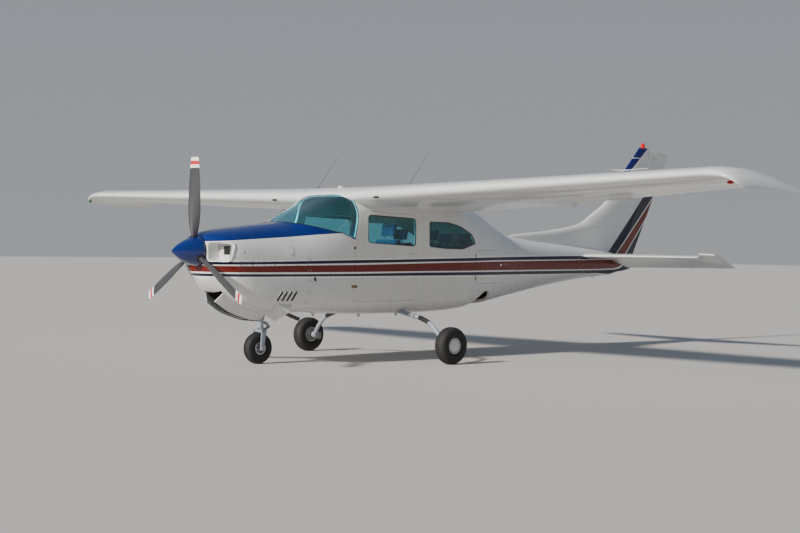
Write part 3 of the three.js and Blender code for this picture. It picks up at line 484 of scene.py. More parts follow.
# Shader building
class Nodes:
    """Adds nodes to one node tree and links them as it goes."""

    def __init__(self, tree: bpy.types.NodeTree) -> None:
        """Keeps the tree."""
        self.tree = tree

    def add(self, kind: str, inputs: dict | None = None, **settings: object) -> bpy.types.Node:
        """A new node.

        Args:
            kind: the node's type.
            inputs: values, or sockets to link from, by input name or number.
            settings: the node's own properties.

        Returns:
            The node.
        """
        node = self.tree.nodes.new(kind)
        for name, value in settings.items():
            setattr(node, name, value)
        return self.feed(node, inputs or {})

    def feed(self, node: bpy.types.Node, inputs: dict) -> bpy.types.Node:
        """Sets a node's inputs.

        Args:
            node: the node to feed.
            inputs: values, or sockets to link from, by input name or number.

        Returns:
            The same node.
        """
        for key, value in inputs.items():
            if isinstance(value, bpy.types.NodeSocket):
                self.tree.links.new(value, node.inputs[key])
            else:
                node.inputs[key].default_value = value
        return node

    def math(self, operation: str, *values: object, clamp: bool = False) -> bpy.types.NodeSocket:
        """The result of a Math node on the given values."""
        settings = {"operation": operation, "use_clamp": clamp}
        return self.add("ShaderNodeMath", dict(enumerate(values)), **settings).outputs[0]

    def plus(self, first: object, second: object) -> bpy.types.NodeSocket:
        """The sum of two values."""
        return self.math("ADD", first, second)

    def minus(self, first: object, second: object) -> bpy.types.NodeSocket:
        """The first value less the second."""
        return self.math("SUBTRACT", first, second)

    def times(self, first: object, second: object) -> bpy.types.NodeSocket:
        """The product of two values."""
        return self.math("MULTIPLY", first, second)

    def mix(self, share: object, first: object, second: object) -> bpy.types.NodeSocket:
        """A colour between two others."""
        node = self.add("ShaderNodeMix", {0: share, 6: first, 7: second}, data_type="RGBA")
        return node.outputs[2]

    def noise(self, place: object, scale: object, detail: float = 3) -> bpy.types.NodeSocket:
        """A noise value from 0 to 1 over the given place."""
        node = self.add("ShaderNodeTexNoise", {"Vector": place, "Scale": scale, "Detail": detail})
        return node.outputs["Fac"]

    def spread(self, value: object, low: float, high: float) -> bpy.types.NodeSocket:
        """The value's share of the way from low to high, held between 0 and 1."""
        node = self.add("ShaderNodeMapRange", {"Value": value, "From Min": low, "From Max": high})
        return node.outputs[0]

    def between(self, past: object, short: object) -> bpy.types.NodeSocket:
        """1 where the first distance is above 0 and the second one below, with a fine blend."""
        return self.times(self.spread(past, -BLEND, BLEND), self.spread(short, BLEND, -BLEND))

    def curve(self, share: object, points: Rows) -> bpy.types.NodeSocket:
        """A value that follows straight runs between points.

        Args:
            share: where on the curve, 0 to 1.
            points: share and value, both 0 to 1.

        Returns:
            The value's socket.
        """
        node = self.add("ShaderNodeFloatCurve", {"Value": share})
        line = node.mapping.curves[0]
        while len(line.points) < len(points):
            line.points.new(0.5, 0.5)
        for point, (x, y) in zip(line.points, points):
            point.location = (x, y)
            point.handle_type = "VECTOR"
        node.mapping.update()
        return node.outputs[0]


def group(name: str, inputs: dict[str, tuple[str, object]], outputs: dict[str, str]) -> tuple:
    """A new node group.

    Args:
        name: the group's name.
        inputs: each input's socket type and default.
        outputs: each output's socket type.

    Returns:
        A builder for the group, its inputs by name and its output node.
    """
    tree = bpy.data.node_groups.new(name, "ShaderNodeTree")
    for label, (kind, value) in inputs.items():
        socket = tree.interface.new_socket(label, in_out="INPUT", socket_type="NodeSocket" + kind)
        if value is not None:
            socket.default_value = value
    for label, kind in outputs.items():
        tree.interface.new_socket(label, in_out="OUTPUT", socket_type="NodeSocket" + kind)
    build = Nodes(tree)
    entry = build.add("NodeGroupInput").outputs
    return build, entry, build.add("NodeGroupOutput")


def livery(name: str) -> tuple:
    """A new node group that takes a place and a colour and gives a colour."""
    return group(name, {"Vector": ("Vector", None), "Colour": ("Color", (1, 1, 1, 1))},
                 {"Colour": "Color"})


def shared(make: Callable[[], bpy.types.NodeTree]) -> bpy.types.NodeTree:
    """The node group of a function's name, which the function makes at its first use."""
    return bpy.data.node_groups.get(make.__name__) or make()


# Wear, rivets and painted edges: metres, shares from 0 to 1, and a colour
BLEND = 0.0006
SOIL = (0.16, 0.13, 0.1, 1)
SOIL_HEIGHTS = (1.1, 0.1)
SOIL_STREAKS = (0.35, 0.8)
SOIL_ROUGHNESS = 0.4
STREAK_SCALE = 9.0
UNEVENNESS = 0.25
RIVET_ASIDE = 0.011
RIVET_EDGES = (0.0032, 0.0018)
RIVET_PITCH = 0.032
RIVET_SHADE = 0.35
SEAM_EDGES = (0.0016, 0.0008)
SEAM_DIRT = (0.05, 0.05, 0.05, 1)


def weathering() -> bpy.types.NodeTree:
    """The group that fades, dusts and roughens a finish."""
    build, entry, leave = group("weathering", {
        "Vector": ("Vector", None), "Colour": ("Color", (1, 1, 1, 1)), "Roughness": ("Float", 0.4),
        "Patch": ("Float", 3.0), "Fade": ("Float", 0.1), "Dust": ("Float", 0.2),
        "Grain": ("Float", 200.0),
    }, {"Colour": "Color", "Roughness": "Float", "Height": "Float"})
    patches = build.noise(entry["Vector"], entry["Patch"], 5)
    streaks = build.noise(entry["Vector"], build.times(entry["Patch"], STREAK_SCALE), 3)
    fading = build.times(build.times(build.minus(patches, 0.5), 2.0), entry["Fade"])
    faded = build.add("ShaderNodeVectorMath",
                      {0: entry["Colour"], "Scale": build.plus(1.0, fading)},
                      operation="SCALE").outputs[0]
    height = build.add("ShaderNodeSeparateXYZ", {0: entry["Vector"]}).outputs["Z"]
    low = build.spread(height, *SOIL_HEIGHTS)
    soil = build.times(build.times(low, build.spread(streaks, *SOIL_STREAKS)), entry["Dust"])
    uneven = build.times(build.minus(streaks, 0.5), UNEVENNESS)
    rough = build.math("ADD", build.plus(entry["Roughness"], uneven),
                       build.times(soil, SOIL_ROUGHNESS), clamp=True)
    build.feed(leave, {"Colour": build.mix(soil, faded, SOIL), "Roughness": rough,
                       "Height": build.noise(entry["Vector"], entry["Grain"], 2)})
    return build.tree


def riveting() -> bpy.types.NodeTree:
    """The group of seam lines with rivets beside them."""
    build, entry, leave = group("riveting", {
        "Along": ("Float", 0.0), "Across": ("Float", 0.0), "Pitch": ("Float", 0.03),
        "Bay": ("Float", 0.4),
    }, {"Height": "Float", "Line": "Float"})

    def centred(value: object, period: object) -> bpy.types.NodeSocket:
        """The distance to the middle of the period that the value lies in."""
        share = build.math("FRACT", build.math("DIVIDE", value, period))
        return build.times(build.minus(share, 0.5), period)

    run = centred(entry["Along"], entry["Pitch"])
    aside = build.math("ABSOLUTE", centred(entry["Across"], entry["Bay"]))
    beside = build.minus(aside, RIVET_ASIDE)
    squares = build.plus(build.math("POWER", run, 2.0), build.math("POWER", beside, 2.0))
    heads = build.spread(build.math("SQRT", squares), *RIVET_EDGES)
    line = build.spread(aside, *SEAM_EDGES)
    shade = build.math("MAXIMUM", line, build.times(heads, RIVET_SHADE))
    build.feed(leave, {"Height": build.minus(heads, line), "Line": shade})
    return build.tree


WHITE: Colour = (0.70, 0.70, 0.685)
PIN_WHITE: Colour = (0.87, 0.87, 0.86)
BLUE: Colour = (0.001, 0.016, 0.14)
NAVY: Colour = (0.006, 0.008, 0.03)
MAROON: Colour = (0.15, 0.009, 0.004)
RED: Colour = (0.55, 0.02, 0.015)
CHARCOAL: Colour = (0.045, 0.047, 0.052)

# Edges of the side's stripes, as stations and heights
STRIPES = [
    (NAVY,
     [(300, 1114), (800, 1122), (1300, 1127), (2100, 1139), (2600, 1147), (3100, 1157),
      (4100, 1170),
            (4500, 1178), (6000, 1191), (7900, 1202)],
     [(300, 1146), (800, 1148), (1300, 1159), (2100, 1175), (2600, 1181), (3600, 1199),
      (4500, 1216),
      (6000, 1236), (7900, 1252)]),
    (MAROON,
     [(300, 1033), (800, 1035), (2100, 1039), (3100, 1047), (4500, 1052), (6000, 1057),
      (7000, 1064),
              (7260, 1069), (7390, 1086), (7460, 1114), (7505, 1150), (7900, 1600)],
     [(300, 1102), (800, 1103), (1300, 1111), (2100, 1119), (2600, 1130), (3600, 1149),
      (4500, 1162),
      (6000, 1178), (7000, 1190), (7320, 1189), (7430, 1180), (7505, 1158), (7900, 950)]),
    # Behind station 7450 this band's upper edge climbs, so the tail's end is navy: stripe paint
    # that also paints in the shade of the tail cone's end.
    (NAVY,
     [(300, 986), (1300, 990), (2600, 993), (4500, 996), (6000, 1000), (6900, 1006), (7200, 990),
      (7900, 900)],
     [(300, 1017), (1300, 1016), (2100, 1019), (3100, 1031), (4500, 1035), (6000, 1041),
      (7000, 1047),
      (7260, 1052), (7400, 1066), (7480, 1096), (7538, 1150), (7570, 1235), (7900, 1500)]),
]
BLUE_EDGE = [(300, 1360), (407, 1369), (801, 1396), (1210, 1423), (1634, 1459), (1895, 1476),
             (2104, 1402),
             (2110, 2400), (8000, 2400)]
# The range of heights that the stripes' curves cover, and how far white reaches round a stripe
LOW, HIGH = 0.9, 2.5
MARGIN = 0.017
MARGIN_BLEND = 0.001


def body_livery() -> bpy.types.NodeTree:
    """The group that paints the side's stripes and the blue top of the nose."""
    build, entry, leave = livery("body_livery")
    place = build.add("ShaderNodeSeparateXYZ", {0: entry["Vector"]}).outputs
    share = build.spread(place["X"], NOSE_X, -NOSE_X)

    def edge(points: Rows) -> bpy.types.NodeSocket:
        """How far, in metres, a place lies above an edge."""
        line = build.curve(share, [(s / LENGTH, (z * MM - LOW) / (HIGH - LOW)) for s, z in points])
        return build.minus(place["Z"], build.math("MULTIPLY_ADD", line, HIGH - LOW, LOW))

    bands = [(colour, edge(lower), edge(upper)) for colour, lower, upper in STRIPES]
    around = [build.times(build.spread(above, -MARGIN - MARGIN_BLEND, -MARGIN),
                          build.spread(below, MARGIN + MARGIN_BLEND, MARGIN))
              for _, above, below in bands]
    lit = build.math("MAXIMUM", around[0], build.math("MAXIMUM", around[1], around[2]))
    colour = build.mix(lit, entry["Colour"], (*PIN_WHITE, 1))
    for shade, above, below in bands:
        colour = build.mix(build.between(above, below), colour, (*shade, 1))
    top = build.spread(edge(BLUE_EDGE), -BLEND, BLEND)
    build.feed(leave, {"Colour": build.mix(top, colour, (*BLUE, 1))})
    return build.tree


# Lines on the fin: station, slope of station over height, and the height of that station
FIN_BANDS = [(NAVY, (7211, 0.985, 1300), (7400, 1.05, 1300)),
             (MAROON, (7429, 1.05, 1300), (7627, 0.93, 1300)),
             (NAVY, (7654, 0.93, 1300), (7900, 1.2, 1300))]
FIN_TOP_LINE = (7634, 1.16, 2407)
FIN_TOP_COLOUR = (*NAVY[:2], 0.11, 1)
# Heights on the fin in metres: where the bands end, where the dark top starts, its white line
BANDS_END = 2.36
TOP_START = 2.2
TOP_PIN = 2.646
TOP_PIN_EDGES = (0.004, 0.003)
# Where the bands of a blade's tip start, in metres from the shaft
BLADE_BANDS = ((0.9, PIN_WHITE), (0.938, RED), (0.976, PIN_WHITE))


def fin_livery() -> bpy.types.NodeTree:
    """The group that paints the slanting bands of the fin and rudder."""
    build, entry, leave = livery("fin_livery")
    place = build.add("ShaderNodeSeparateXYZ", {0: entry["Vector"]}).outputs
    station = build.minus(NOSE_X, place["X"])

    def behind(start: float, slope: float, height: float) -> bpy.types.NodeSocket:
        """How far, in metres, a place lies behind a slanting line."""
        rise = build.minus(place["Z"], height * MM)
        return build.minus(build.minus(station, start * MM), build.times(rise, slope))

    colour = entry["Colour"]
    for shade, front, rear in FIN_BANDS:
        inside = build.times(build.between(behind(*front), behind(*rear)),
                             build.spread(place["Z"], BANDS_END + 0.001, BANDS_END))
        colour = build.mix(inside, colour, (*shade, 1))
    upper = build.times(build.spread(behind(*FIN_TOP_LINE), BLEND, -BLEND),
                        build.spread(place["Z"], TOP_START, TOP_START + BLEND))
    colour = build.mix(upper, colour, FIN_TOP_COLOUR)
    from_line = build.math("ABSOLUTE", build.minus(place["Z"], TOP_PIN))
    pin = build.times(upper, build.spread(from_line, *TOP_PIN_EDGES))
    build.feed(leave, {"Colour": build.mix(pin, colour, (*PIN_WHITE, 1))})
    return build.tree


def blade_livery() -> bpy.types.NodeTree:
    """The group that paints the white, red and white bands at the blades' tips."""
    build, entry, leave = livery("blade_livery")
    kind = "ShaderNodeVectorMath"
    centre = (0, 0, HUB_HEIGHT * MM)
    hub = build.add(kind, {0: entry["Vector"], 1: centre}, operation="SUBTRACT").outputs[0]
    flat = build.add(kind, {0: hub, 1: (0, 1, 1)}, operation="MULTIPLY").outputs[0]
    radius = build.add(kind, {0: flat}, operation="LENGTH").outputs["Value"]
    colour = entry["Colour"]
    for start, shade in BLADE_BANDS:
        colour = build.mix(build.spread(radius, start, start + 0.0008), colour, (*shade, 1))
    build.feed(leave, {"Colour": colour})
    return build.tree


class Pattern(Enum):
    """What is painted over a finish's own colour."""

    PLAIN = "plain"
    BODY = "body"
    FIN = "fin"
    BLADE = "blade"


class Seams(Enum):
    """How seam lines and rivets run over a finish."""

    NONE = "none"
    FRAMES = "frames"
    RIBS = "ribs"
    RISERS = "risers"


LIVERIES = {Pattern.BODY: body_livery, Pattern.FIN: fin_livery, Pattern.BLADE: blade_livery}
SEAM_BAYS = {Seams.FRAMES: 0.47, Seams.RIBS: 0.38, Seams.RISERS: 0.3}
GIRTH_RADIUS = 0.6
GIRTH_HEIGHT = 1.1


def new_material(name: str) -> tuple:
    """A new material.

    Args:
        name: the material's name.

    Returns:
        The material, its node builder, its shader and the socket of the surface's place.
    """
    material = bpy.data.materials.new(name)
    material.use_nodes = True
    build = Nodes(material.node_tree)
    shader = material.node_tree.nodes["Principled BSDF"]
    return material, build, shader, build.add("ShaderNodeTexCoord").outputs["Object"]


@dataclass(frozen=True)
class Finish:
    """A painted, metal, rubber, plastic or cloth surface."""

    name: str
    colour: Colour
    roughness: float = 0.4
    metallic: float = 0.0
    specular: float = 0.4
    coat: float = 0.0
    sheen: float = 0.0
    patch: float = 2.5
    fade: float = 0.06
    dust: float = 0.15
    grain: float = 260.0
    bump: float = 0.02
    pattern: Pattern = Pattern.PLAIN
    seams: Seams = Seams.NONE
    weave: float = 0.0

    def material(self) -> bpy.types.Material:
        """The material of this finish, built at its first use."""
        name = f"finish_{self.name}"
        if name in bpy.data.materials:
            return bpy.data.materials[name]
        material, build, shader, place = new_material(name)
        worn = self.worn(build, place)
        colour, height = worn.outputs["Colour"], build.times(worn.outputs["Height"], self.bump)
        if self.seams is not Seams.NONE:
            rivets = self.rivets(build, place)
            colour = build.mix(build.times(rivets.outputs["Line"], 0.5), colour, SEAM_DIRT)
            height = build.plus(height, build.times(rivets.outputs["Height"], 0.35))
        if self.weave:
            height = build.plus(height, self.threads(build, place))
        bump = build.add("ShaderNodeBump", {"Height": height, "Strength": 0.6, "Distance": 0.002})
        build.feed(shader, {
            "Base Color": colour, "Roughness": worn.outputs["Roughness"], "Normal": bump.outputs[0],
            "Metallic": self.metallic, "Specular IOR Level": self.specular,
            "Coat Weight": self.coat,
            "Coat Roughness": 0.04, "Sheen Weight": self.sheen,
        })
        return material

    def worn(self, build: Nodes, place: bpy.types.NodeSocket) -> bpy.types.Node:
        """The weathering node of this finish, fed with its colour and pattern.

        Args:
            build: the material's builder.
            place: the surface's place.

        Returns:
            The group node.
        """
        colour: object = (*self.colour, 1)
        if self.pattern is not Pattern.PLAIN:
            colour = build.add("ShaderNodeGroup", {"Colour": colour, "Vector": place},
                               node_tree=shared(LIVERIES[self.pattern])).outputs["Colour"]
        return build.add("ShaderNodeGroup", {
            "Vector": place, "Colour": colour, "Roughness": self.roughness, "Patch": self.patch,
            "Fade": self.fade, "Dust": self.dust, "Grain": self.grain,
        }, node_tree=shared(weathering))

    def rivets(self, build: Nodes, place: bpy.types.NodeSocket) -> bpy.types.Node:
        """The riveting node of this finish.

        Args:
            build: the material's builder.
            place: the surface's place.

        Returns:
            The group node.
        """
        axes = build.add("ShaderNodeSeparateXYZ", {0: place}).outputs
        if self.seams is Seams.FRAMES:
            angle = build.math("ARCTAN2", build.minus(axes["Z"], GIRTH_HEIGHT), axes["Y"])
            along, across = build.times(angle, GIRTH_RADIUS), axes["X"]
        else:
            along, across = axes["X"], axes["Y" if self.seams is Seams.RIBS else "Z"]
        return build.add("ShaderNodeGroup", {"Pitch": RIVET_PITCH, "Bay": SEAM_BAYS[self.seams],
                                             "Along": along, "Across": across},
                         node_tree=shared(riveting))

    def threads(self, build: Nodes, place: bpy.types.NodeSocket) -> bpy.types.NodeSocket:
        """The height of a weave's threads.

        Args:
            build: the material's builder.
            place: the surface's place.

        Returns:
            The height's socket.
        """
        inputs = {"Vector": place, "Scale": self.weave}
        x, y, z = (build.add("ShaderNodeTexWave", inputs, bands_direction=way).outputs["Fac"]
                   for way in ("X", "Y", "Z"))
        return build.times(build.plus(x, build.times(y, z)), 0.12)


@dataclass(frozen=True)
class Glass:
    """A clear or tinted pane or lens."""

    name: str
    colour: Colour
    roughness: float = 0.02
    smudge: float = 0.05

    def material(self) -> bpy.types.Material:
        """The material of this glass, built at its first use; it lets light into the cabin."""
        name = f"finish_{self.name}"
        if name in bpy.data.materials:
            return bpy.data.materials[name]
        material, build, shader, place = new_material(name)
        tint = (*self.colour, 1)
        worn = build.add("ShaderNodeGroup", {"Vector": place, "Colour": tint, "Fade": self.smudge,
                                             "Roughness": self.roughness, "Dust": 0.0},
                         node_tree=shared(weathering))
        smear = build.spread(worn.outputs["Height"], 0.2, 3.0)
        build.feed(shader, {
            "Base Color": worn.outputs["Colour"],
            "Roughness": build.times(smear, self.roughness * 2),
            "Transmission Weight": 1.0, "IOR": 1.45,
        })
        clear = build.add("ShaderNodeBsdfTransparent", {"Color": tint})
        shade = build.add("ShaderNodeLightPath").outputs["Is Shadow Ray"]
        both = build.add("ShaderNodeMixShader",
                         {0: shade, 1: shader.outputs[0], 2: clear.outputs[0]})
        build.feed(material.node_tree.nodes["Material Output"], {"Surface": both.outputs[0]})
        return material


BODY_PAINT = Finish("body_paint", WHITE, 0.24, coat=0.1, fade=0.05, dust=0.35, pattern=Pattern.BODY,
                    seams=Seams.FRAMES)
WING_PAINT = Finish("wing_paint", WHITE, 0.2, coat=0.3, fade=0.05, dust=0.0, seams=Seams.RIBS)
FIN_PAINT = Finish("fin_paint", WHITE, 0.24, coat=0.1, fade=0.05, dust=0.0, pattern=Pattern.FIN,
                   seams=Seams.RISERS)
PLAIN_PAINT = Finish("plain_paint", WHITE, 0.24, coat=0.1, fade=0.05, dust=0.3)
SPINNER_PAINT = Finish("spinner_paint", BLUE, 0.12, coat=0.9, fade=0.08, dust=0.0)
BLADE_PAINT = Finish("blade_paint", CHARCOAL, 0.38, fade=0.18, dust=0.0, patch=6,
                     pattern=Pattern.BLADE)
LEG_PAINT = Finish("leg_paint", (0.3, 0.34, 0.4), 0.3, coat=0.3, dust=0.6, patch=9)
RUBBER = Finish("tyre_rubber", (0.016, 0.016, 0.017), 0.72, fade=0.25, dust=0.12, patch=7,
                grain=420, bump=0.12)
SEAL = Finish("seal_rubber", (0.012, 0.012, 0.013), 0.55, fade=0.2, grain=500, bump=0.05)
WHEEL_METAL = Finish("wheel_metal", (0.52, 0.53, 0.54), 0.38, 0.9, fade=0.15, dust=0.7, patch=14,
                     grain=300, bump=0.08)
CAP_PAINT = Finish("cap_paint", (0.66, 0.67, 0.68), 0.35, dust=0.35, patch=12, fade=0.1)
CHROME = Finish("chrome", (0.75, 0.76, 0.78), 0.08, 1.0, fade=0.04, dust=0.1)
STEEL = Finish("brake_steel", (0.3, 0.29, 0.28), 0.4, 0.9, fade=0.3, dust=0.6, patch=20)
# Near-black painted shade for the wheel wells and the sheet between them, the nose bay, louvre
# slots, air scoops' mouths and the inner faces of the cowl and tail cone.
PAINTED_SHADE = Finish("dark_bay", (0.028, 0.023, 0.018), 0.7, fade=0.4, dust=0.3, patch=8)
PRIMER = Finish("primer", (0.22, 0.13, 0.06), 0.6, fade=0.3, patch=30)
LINER = Finish("liner", (0.6, 0.58, 0.53), 0.8, fade=0.1, dust=0.0, grain=500, bump=0.1)
CLOTH = Finish("seat_cloth", (0.012, 0.02, 0.07), 0.85, sheen=0.4, fade=0.2, dust=0.0, weave=160,
               patch=8)
CARPET = Finish("carpet", (0.05, 0.055, 0.07), 0.95, sheen=0.3, fade=0.3, dust=0.5, grain=700,
                bump=0.6)
PANEL = Finish("panel_plastic", (0.03, 0.031, 0.034), 0.6, fade=0.15, dust=0.0, grain=900, bump=0.1)
CASTING = Finish("engine_metal", (0.10, 0.10, 0.105), 0.55, 0.7, fade=0.3, patch=12, grain=160,
                 bump=0.4)
FIREWALL = Finish("firewall_steel", (0.45, 0.46, 0.47), 0.35, 0.9, fade=0.15, patch=5)
BULKHEAD = Finish("bulkhead_sheet", (0.16, 0.17, 0.2), 0.5, fade=0.15)
BLACK = Finish("black_paint", (0.015, 0.015, 0.016), 0.35, fade=0.1)
WINDOW = Glass("tinted_glass", (0.38, 0.76, 0.82))
RED_LENS = Glass("red_lens", (0.5, 0.0, 0.0), 0.05)
GREEN_LENS = Glass("green_lens", (0.0, 0.3, 0.1), 0.05)
RED_LAMP = Finish("red_lamp", (0.6, 0.003, 0.003), 0.15, coat=0.2)
ORANGE = Finish("beacon_base", (0.8, 0.18, 0.03), 0.3, coat=0.5)


# Shapes that several sub-assemblies use
def steady(rows: Rows, stations: np.ndarray) -> np.ndarray:
    """Values between a table's rows on smooth curves that never overshoot.

    Args:
        rows: the table, its first column rising.
        stations: where values are wanted, in the first column's terms.

    Returns:
        One full row for each station.
    """
    table = np.asarray(rows, float)
    x, y = table[:, 0], table[:, 1:]
    step = np.diff(x)[:, None]
    rate = np.diff(y, axis=0) / step
    slope = np.zeros_like(y)
    slope[0], slope[-1] = rate[0], rate[-1]
    same = rate[:-1] * rate[1:] > 0
    w1, w2 = 2 * step[1:] + step[:-1], step[1:] + 2 * step[:-1]
    with np.errstate(divide="ignore", invalid="ignore"):
        mean = (w1 + w2) / (w1 / rate[:-1] + w2 / rate[1:])
    slope[1:-1] = np.where(same, mean, 0)
    k = np.clip(np.searchsorted(x, stations) - 1, 0, len(x) - 2)
    h = (x[k + 1] - x[k])[:, None]
    t = (np.asarray(stations)[:, None] - x[k][:, None]) / h
    values = ((1 + 2 * t) * (1 - t) ** 2 * y[k] + t * (1 - t) ** 2 * h * slope[k]
              + t ** 2 * (3 - 2 * t) * y[k + 1] + t ** 2 * (t - 1) * h * slope[k + 1])
    return np.column_stack([stations, values])


def rounded(points: Rows, radius: float, steps: int = 7) -> list[tuple[float, float]]:
    """An outline with its corners rounded.

    Args:
        points: the corners.
        radius: how far from a corner its curve starts.
        steps: how many places each curve has after its first.

    Returns:
        The outline's places.
    """
    result = []
    for k, corner in enumerate(points):
        here = np.array(corner, float)
        legs = [np.array(points[k - 1]) - here, np.array(points[(k + 1) % len(points)]) - here]
        ends = []
        for leg in legs:
            size = np.linalg.norm(leg)
            ends.append(here + leg / size * min(radius, size / 2.2))
        for t in np.linspace(0, 1, steps + 1):
            result.append(tuple((1 - t) ** 2 * ends[0] + 2 * t * (1 - t) * here + t ** 2 * ends[1]))
    return result


def offset(points: Rows, distance: float) -> list[tuple[float, float]]:
    """An outline with its edges moved outwards.

    Args:
        points: the outline's corners.
        distance: how far, in millimetres; below 0 is inwards.

    Returns:
        The moved corners.
    """
    ring = np.asarray(points, float)
    after = np.roll(ring, -1, axis=0)
    area = np.sum(ring[:, 0] * after[:, 1] - after[:, 0] * ring[:, 1])
    line = after - ring
    line /= np.linalg.norm(line, axis=1)[:, None]
    out = np.column_stack([line[:, 1], -line[:, 0]]) * math.copysign(distance, area * distance)
    result = []
    for k in range(len(ring)):
        bisector = out[k - 1] + out[k]
        bisector *= distance ** 2 / max(bisector @ out[k], 1e-9)
        result.append(tuple(ring[k] + bisector))
    return result


# Rows: station, bottom, top, half breadth, height of the widest place, upper and lower exponents
SECTIONS = [
    [345, 1045, 1405, 272, 1235, 2.2, 1.3], [362, 985, 1428, 352, 1230, 2.3, 1.3],
    [400, 915, 1450, 414, 1220, 2.4, 1.35], [460, 858, 1472, 456, 1210, 2.5, 1.6],
    [560, 790, 1494, 488, 1185, 2.6, 2.25], [765, 672, 1524, 517, 1150, 2.6, 3.1],
    [1085, 570, 1562, 550, 1110, 2.6, 3.6], [1345, 570, 1596, 574, 1100, 2.6, 3.8],
    [1600, 576, 1708, 590, 1100, 2.7, 3.8], [1850, 563, 1815, 600, 1100, 3.3, 3.8],
    [2124, 550, 1940, 605, 1100, 4.6, 4], [2400, 540, 1990, 605, 1100, 5.4, 4],
    [2900, 537, 2018, 605, 1100, 5.4, 4], [3300, 539, 2014, 598, 1100, 5, 4],
    [3740, 551, 1960, 572, 1105, 3.8, 3.8], [4100, 580, 1880, 530, 1115, 3.2, 3.5],
    [4412, 618, 1780, 478, 1130, 2.8, 3.1], [4750, 662, 1618, 412, 1140, 2.4, 2.7],
    [5050, 708, 1500, 356, 1150, 2.2, 2.4], [5500, 780, 1448, 292, 1155, 2.2, 2.3],
    [6055, 863, 1404, 236, 1155, 2.1, 2.2], [6730, 940, 1352, 168, 1155, 2, 2],
    [7255, 982, 1304, 108, 1160, 2, 2], [7430, 1016, 1262, 84, 1160, 2, 2],
    [7719, 1062, 1254, 52, 1175, 2, 2], [7793, 1140, 1250, 18, 1205, 2, 2],
]
# Outlines of stations and heights, seen from the side
DOOR = [[2068, 700], [2068, 1330], [2118, 1420], [2196, 1742], [3035, 1700], [3035, 700]]
DOOR_WINDOW = [[2254, 1370], [2266, 1696], [3008, 1668], [3004, 1335]]
BAGGAGE_DOOR = [[4080, 890], [4080, 1300], [4660, 1300], [4660, 890]]
REAR_WINDOW = [[3226, 1334], [3226, 1637], [3560, 1634], [3785, 1594], [4011, 1500], [4083, 1379],
               [3825, 1309], [3520, 1312]]
WINDSHIELD = [[1343, 1594], [1799, 1488], [1890, 1474], [2066, 1404], [2112, 1573], [2134, 1700],
              [2130, 1830], [2124, 1900], [2124, 2300], [1343, 2300]]
COWL_JOINT = [[1430, 0], [1430, 1400], [1343, 1590], [1343, 2300]]


class Hull:
    """The fuselage's outer form, from which every skin and pane is cut."""

    HALF_POINTS = 62
    CORNER = 260.0

    def ring(self, row: Row, inset: float) -> np.ndarray:
        """One closed ring of the form.

        Args:
            row: the station's row of the table.
            inset: how far the ring lies inside the outer form, in millimetres.

        Returns:
            The ring's places in metres, from the top round the port side.
        """
        station, bottom, top, half, widest, upper, lower = row
        turn = np.linspace(0, math.pi, 721)
        s, c = np.cos(turn), np.abs(np.sin(turn))
        power = np.where(s > 0, 2 / upper, 2 / lower)
        reach = np.where(s > 0, top - inset - widest, widest - bottom - inset)
        y = c ** power * (half - inset)
        z = widest + np.sign(s) * np.abs(s) ** power * reach
        step = np.hypot(np.diff(y), np.diff(z))
        angle = np.unwrap(np.arctan2(np.diff(z), np.diff(y)))
        bend = np.abs(np.diff(angle, append=angle[-1]))
        run = np.concatenate([[0], np.cumsum(step + self.CORNER * bend)])
        even = np.linspace(0, run[-1], self.HALF_POINTS + 1)
        y, z = np.interp(even, run, y), np.interp(even, run, z)
        y[0] = y[-1] = 0
        ys = np.concatenate([y, -y[-2:0:-1]])
        zs = np.concatenate([z, z[-2:0:-1]])
        return np.column_stack([np.full_like(ys, NOSE_X - station * MM), ys * MM, zs * MM])

    def stations(self, first: float, last: float) -> np.ndarray:
        """Where the rings stand between two stations, closer together at the nose.

        Args:
            first: the foremost station.
            last: the rearmost station.

        Returns:
            The rings' stations.
        """
        close = np.concatenate([np.arange(345, 480, 9), np.arange(480, 800, 32),
                                np.arange(800, 7794, 58)])
        marks = [row[0] for row in SECTIONS]
        every = np.unique(np.concatenate([close, marks, [first, last]]))
        every = every[(every >= first) & (every <= last)]
        keep = np.concatenate([[True], np.diff(every) > 3])
        keep[-1] = True
        return every[keep]

    def solid(self, name: str, inset: float = 0, first: float = 345, last: float = 7793) -> Piece:
        """A closed solid of the form.

        Args:
            name: the piece's name.
            inset: how far it lies inside the outer form.
            first: its foremost station.
            last: its rearmost station.

        Returns:
            The solid, with two material slots for cuts to show in.
        """
        rows = steady(SECTIONS, self.stations(first, last))
        rings = np.array([self.ring(row, inset) for row in rows])
        piece = loft(name, rings)
        return slotted(piece, 0)

    def lower_skin(self, station: float, y: float) -> float:
        """The height of the lower skin at a distance from the centreline, in millimetres."""
        _, bottom, _, half, widest, _, square = steady(SECTIONS, np.array([station]))[0]
        return widest - (widest - bottom) * (1 - (abs(y) / half) ** square) ** (1 / square)

    def side(self, station: float, z: float) -> float:
        """The distance of the port skin from the centreline.

        Args:
            station: where along the fuselage.
            z: the height.

        Returns:
            The distance in millimetres.
        """
        _, bottom, top, half, widest, upper, lower = steady(SECTIONS, np.array([station]))[0]
        reach, square = (top - widest, upper) if z > widest else (widest - bottom, lower)
        return half * max(0.0, 1 - (abs(z - widest) / reach) ** square) ** (1 / square)


def slotted(piece: Piece, index: int) -> Piece:
    """Gives a piece two empty material slots, so that cuts can be told apart.

    Args:
        piece: the piece.
        index: the slot of its faces.

    Returns:
        The same piece.
    """
    piece.data.materials.clear()
    piece.data.materials.append(None)
    piece.data.materials.append(None)
    piece.data.polygons.foreach_set("material_index", [index] * len(piece.data.polygons))
    return piece


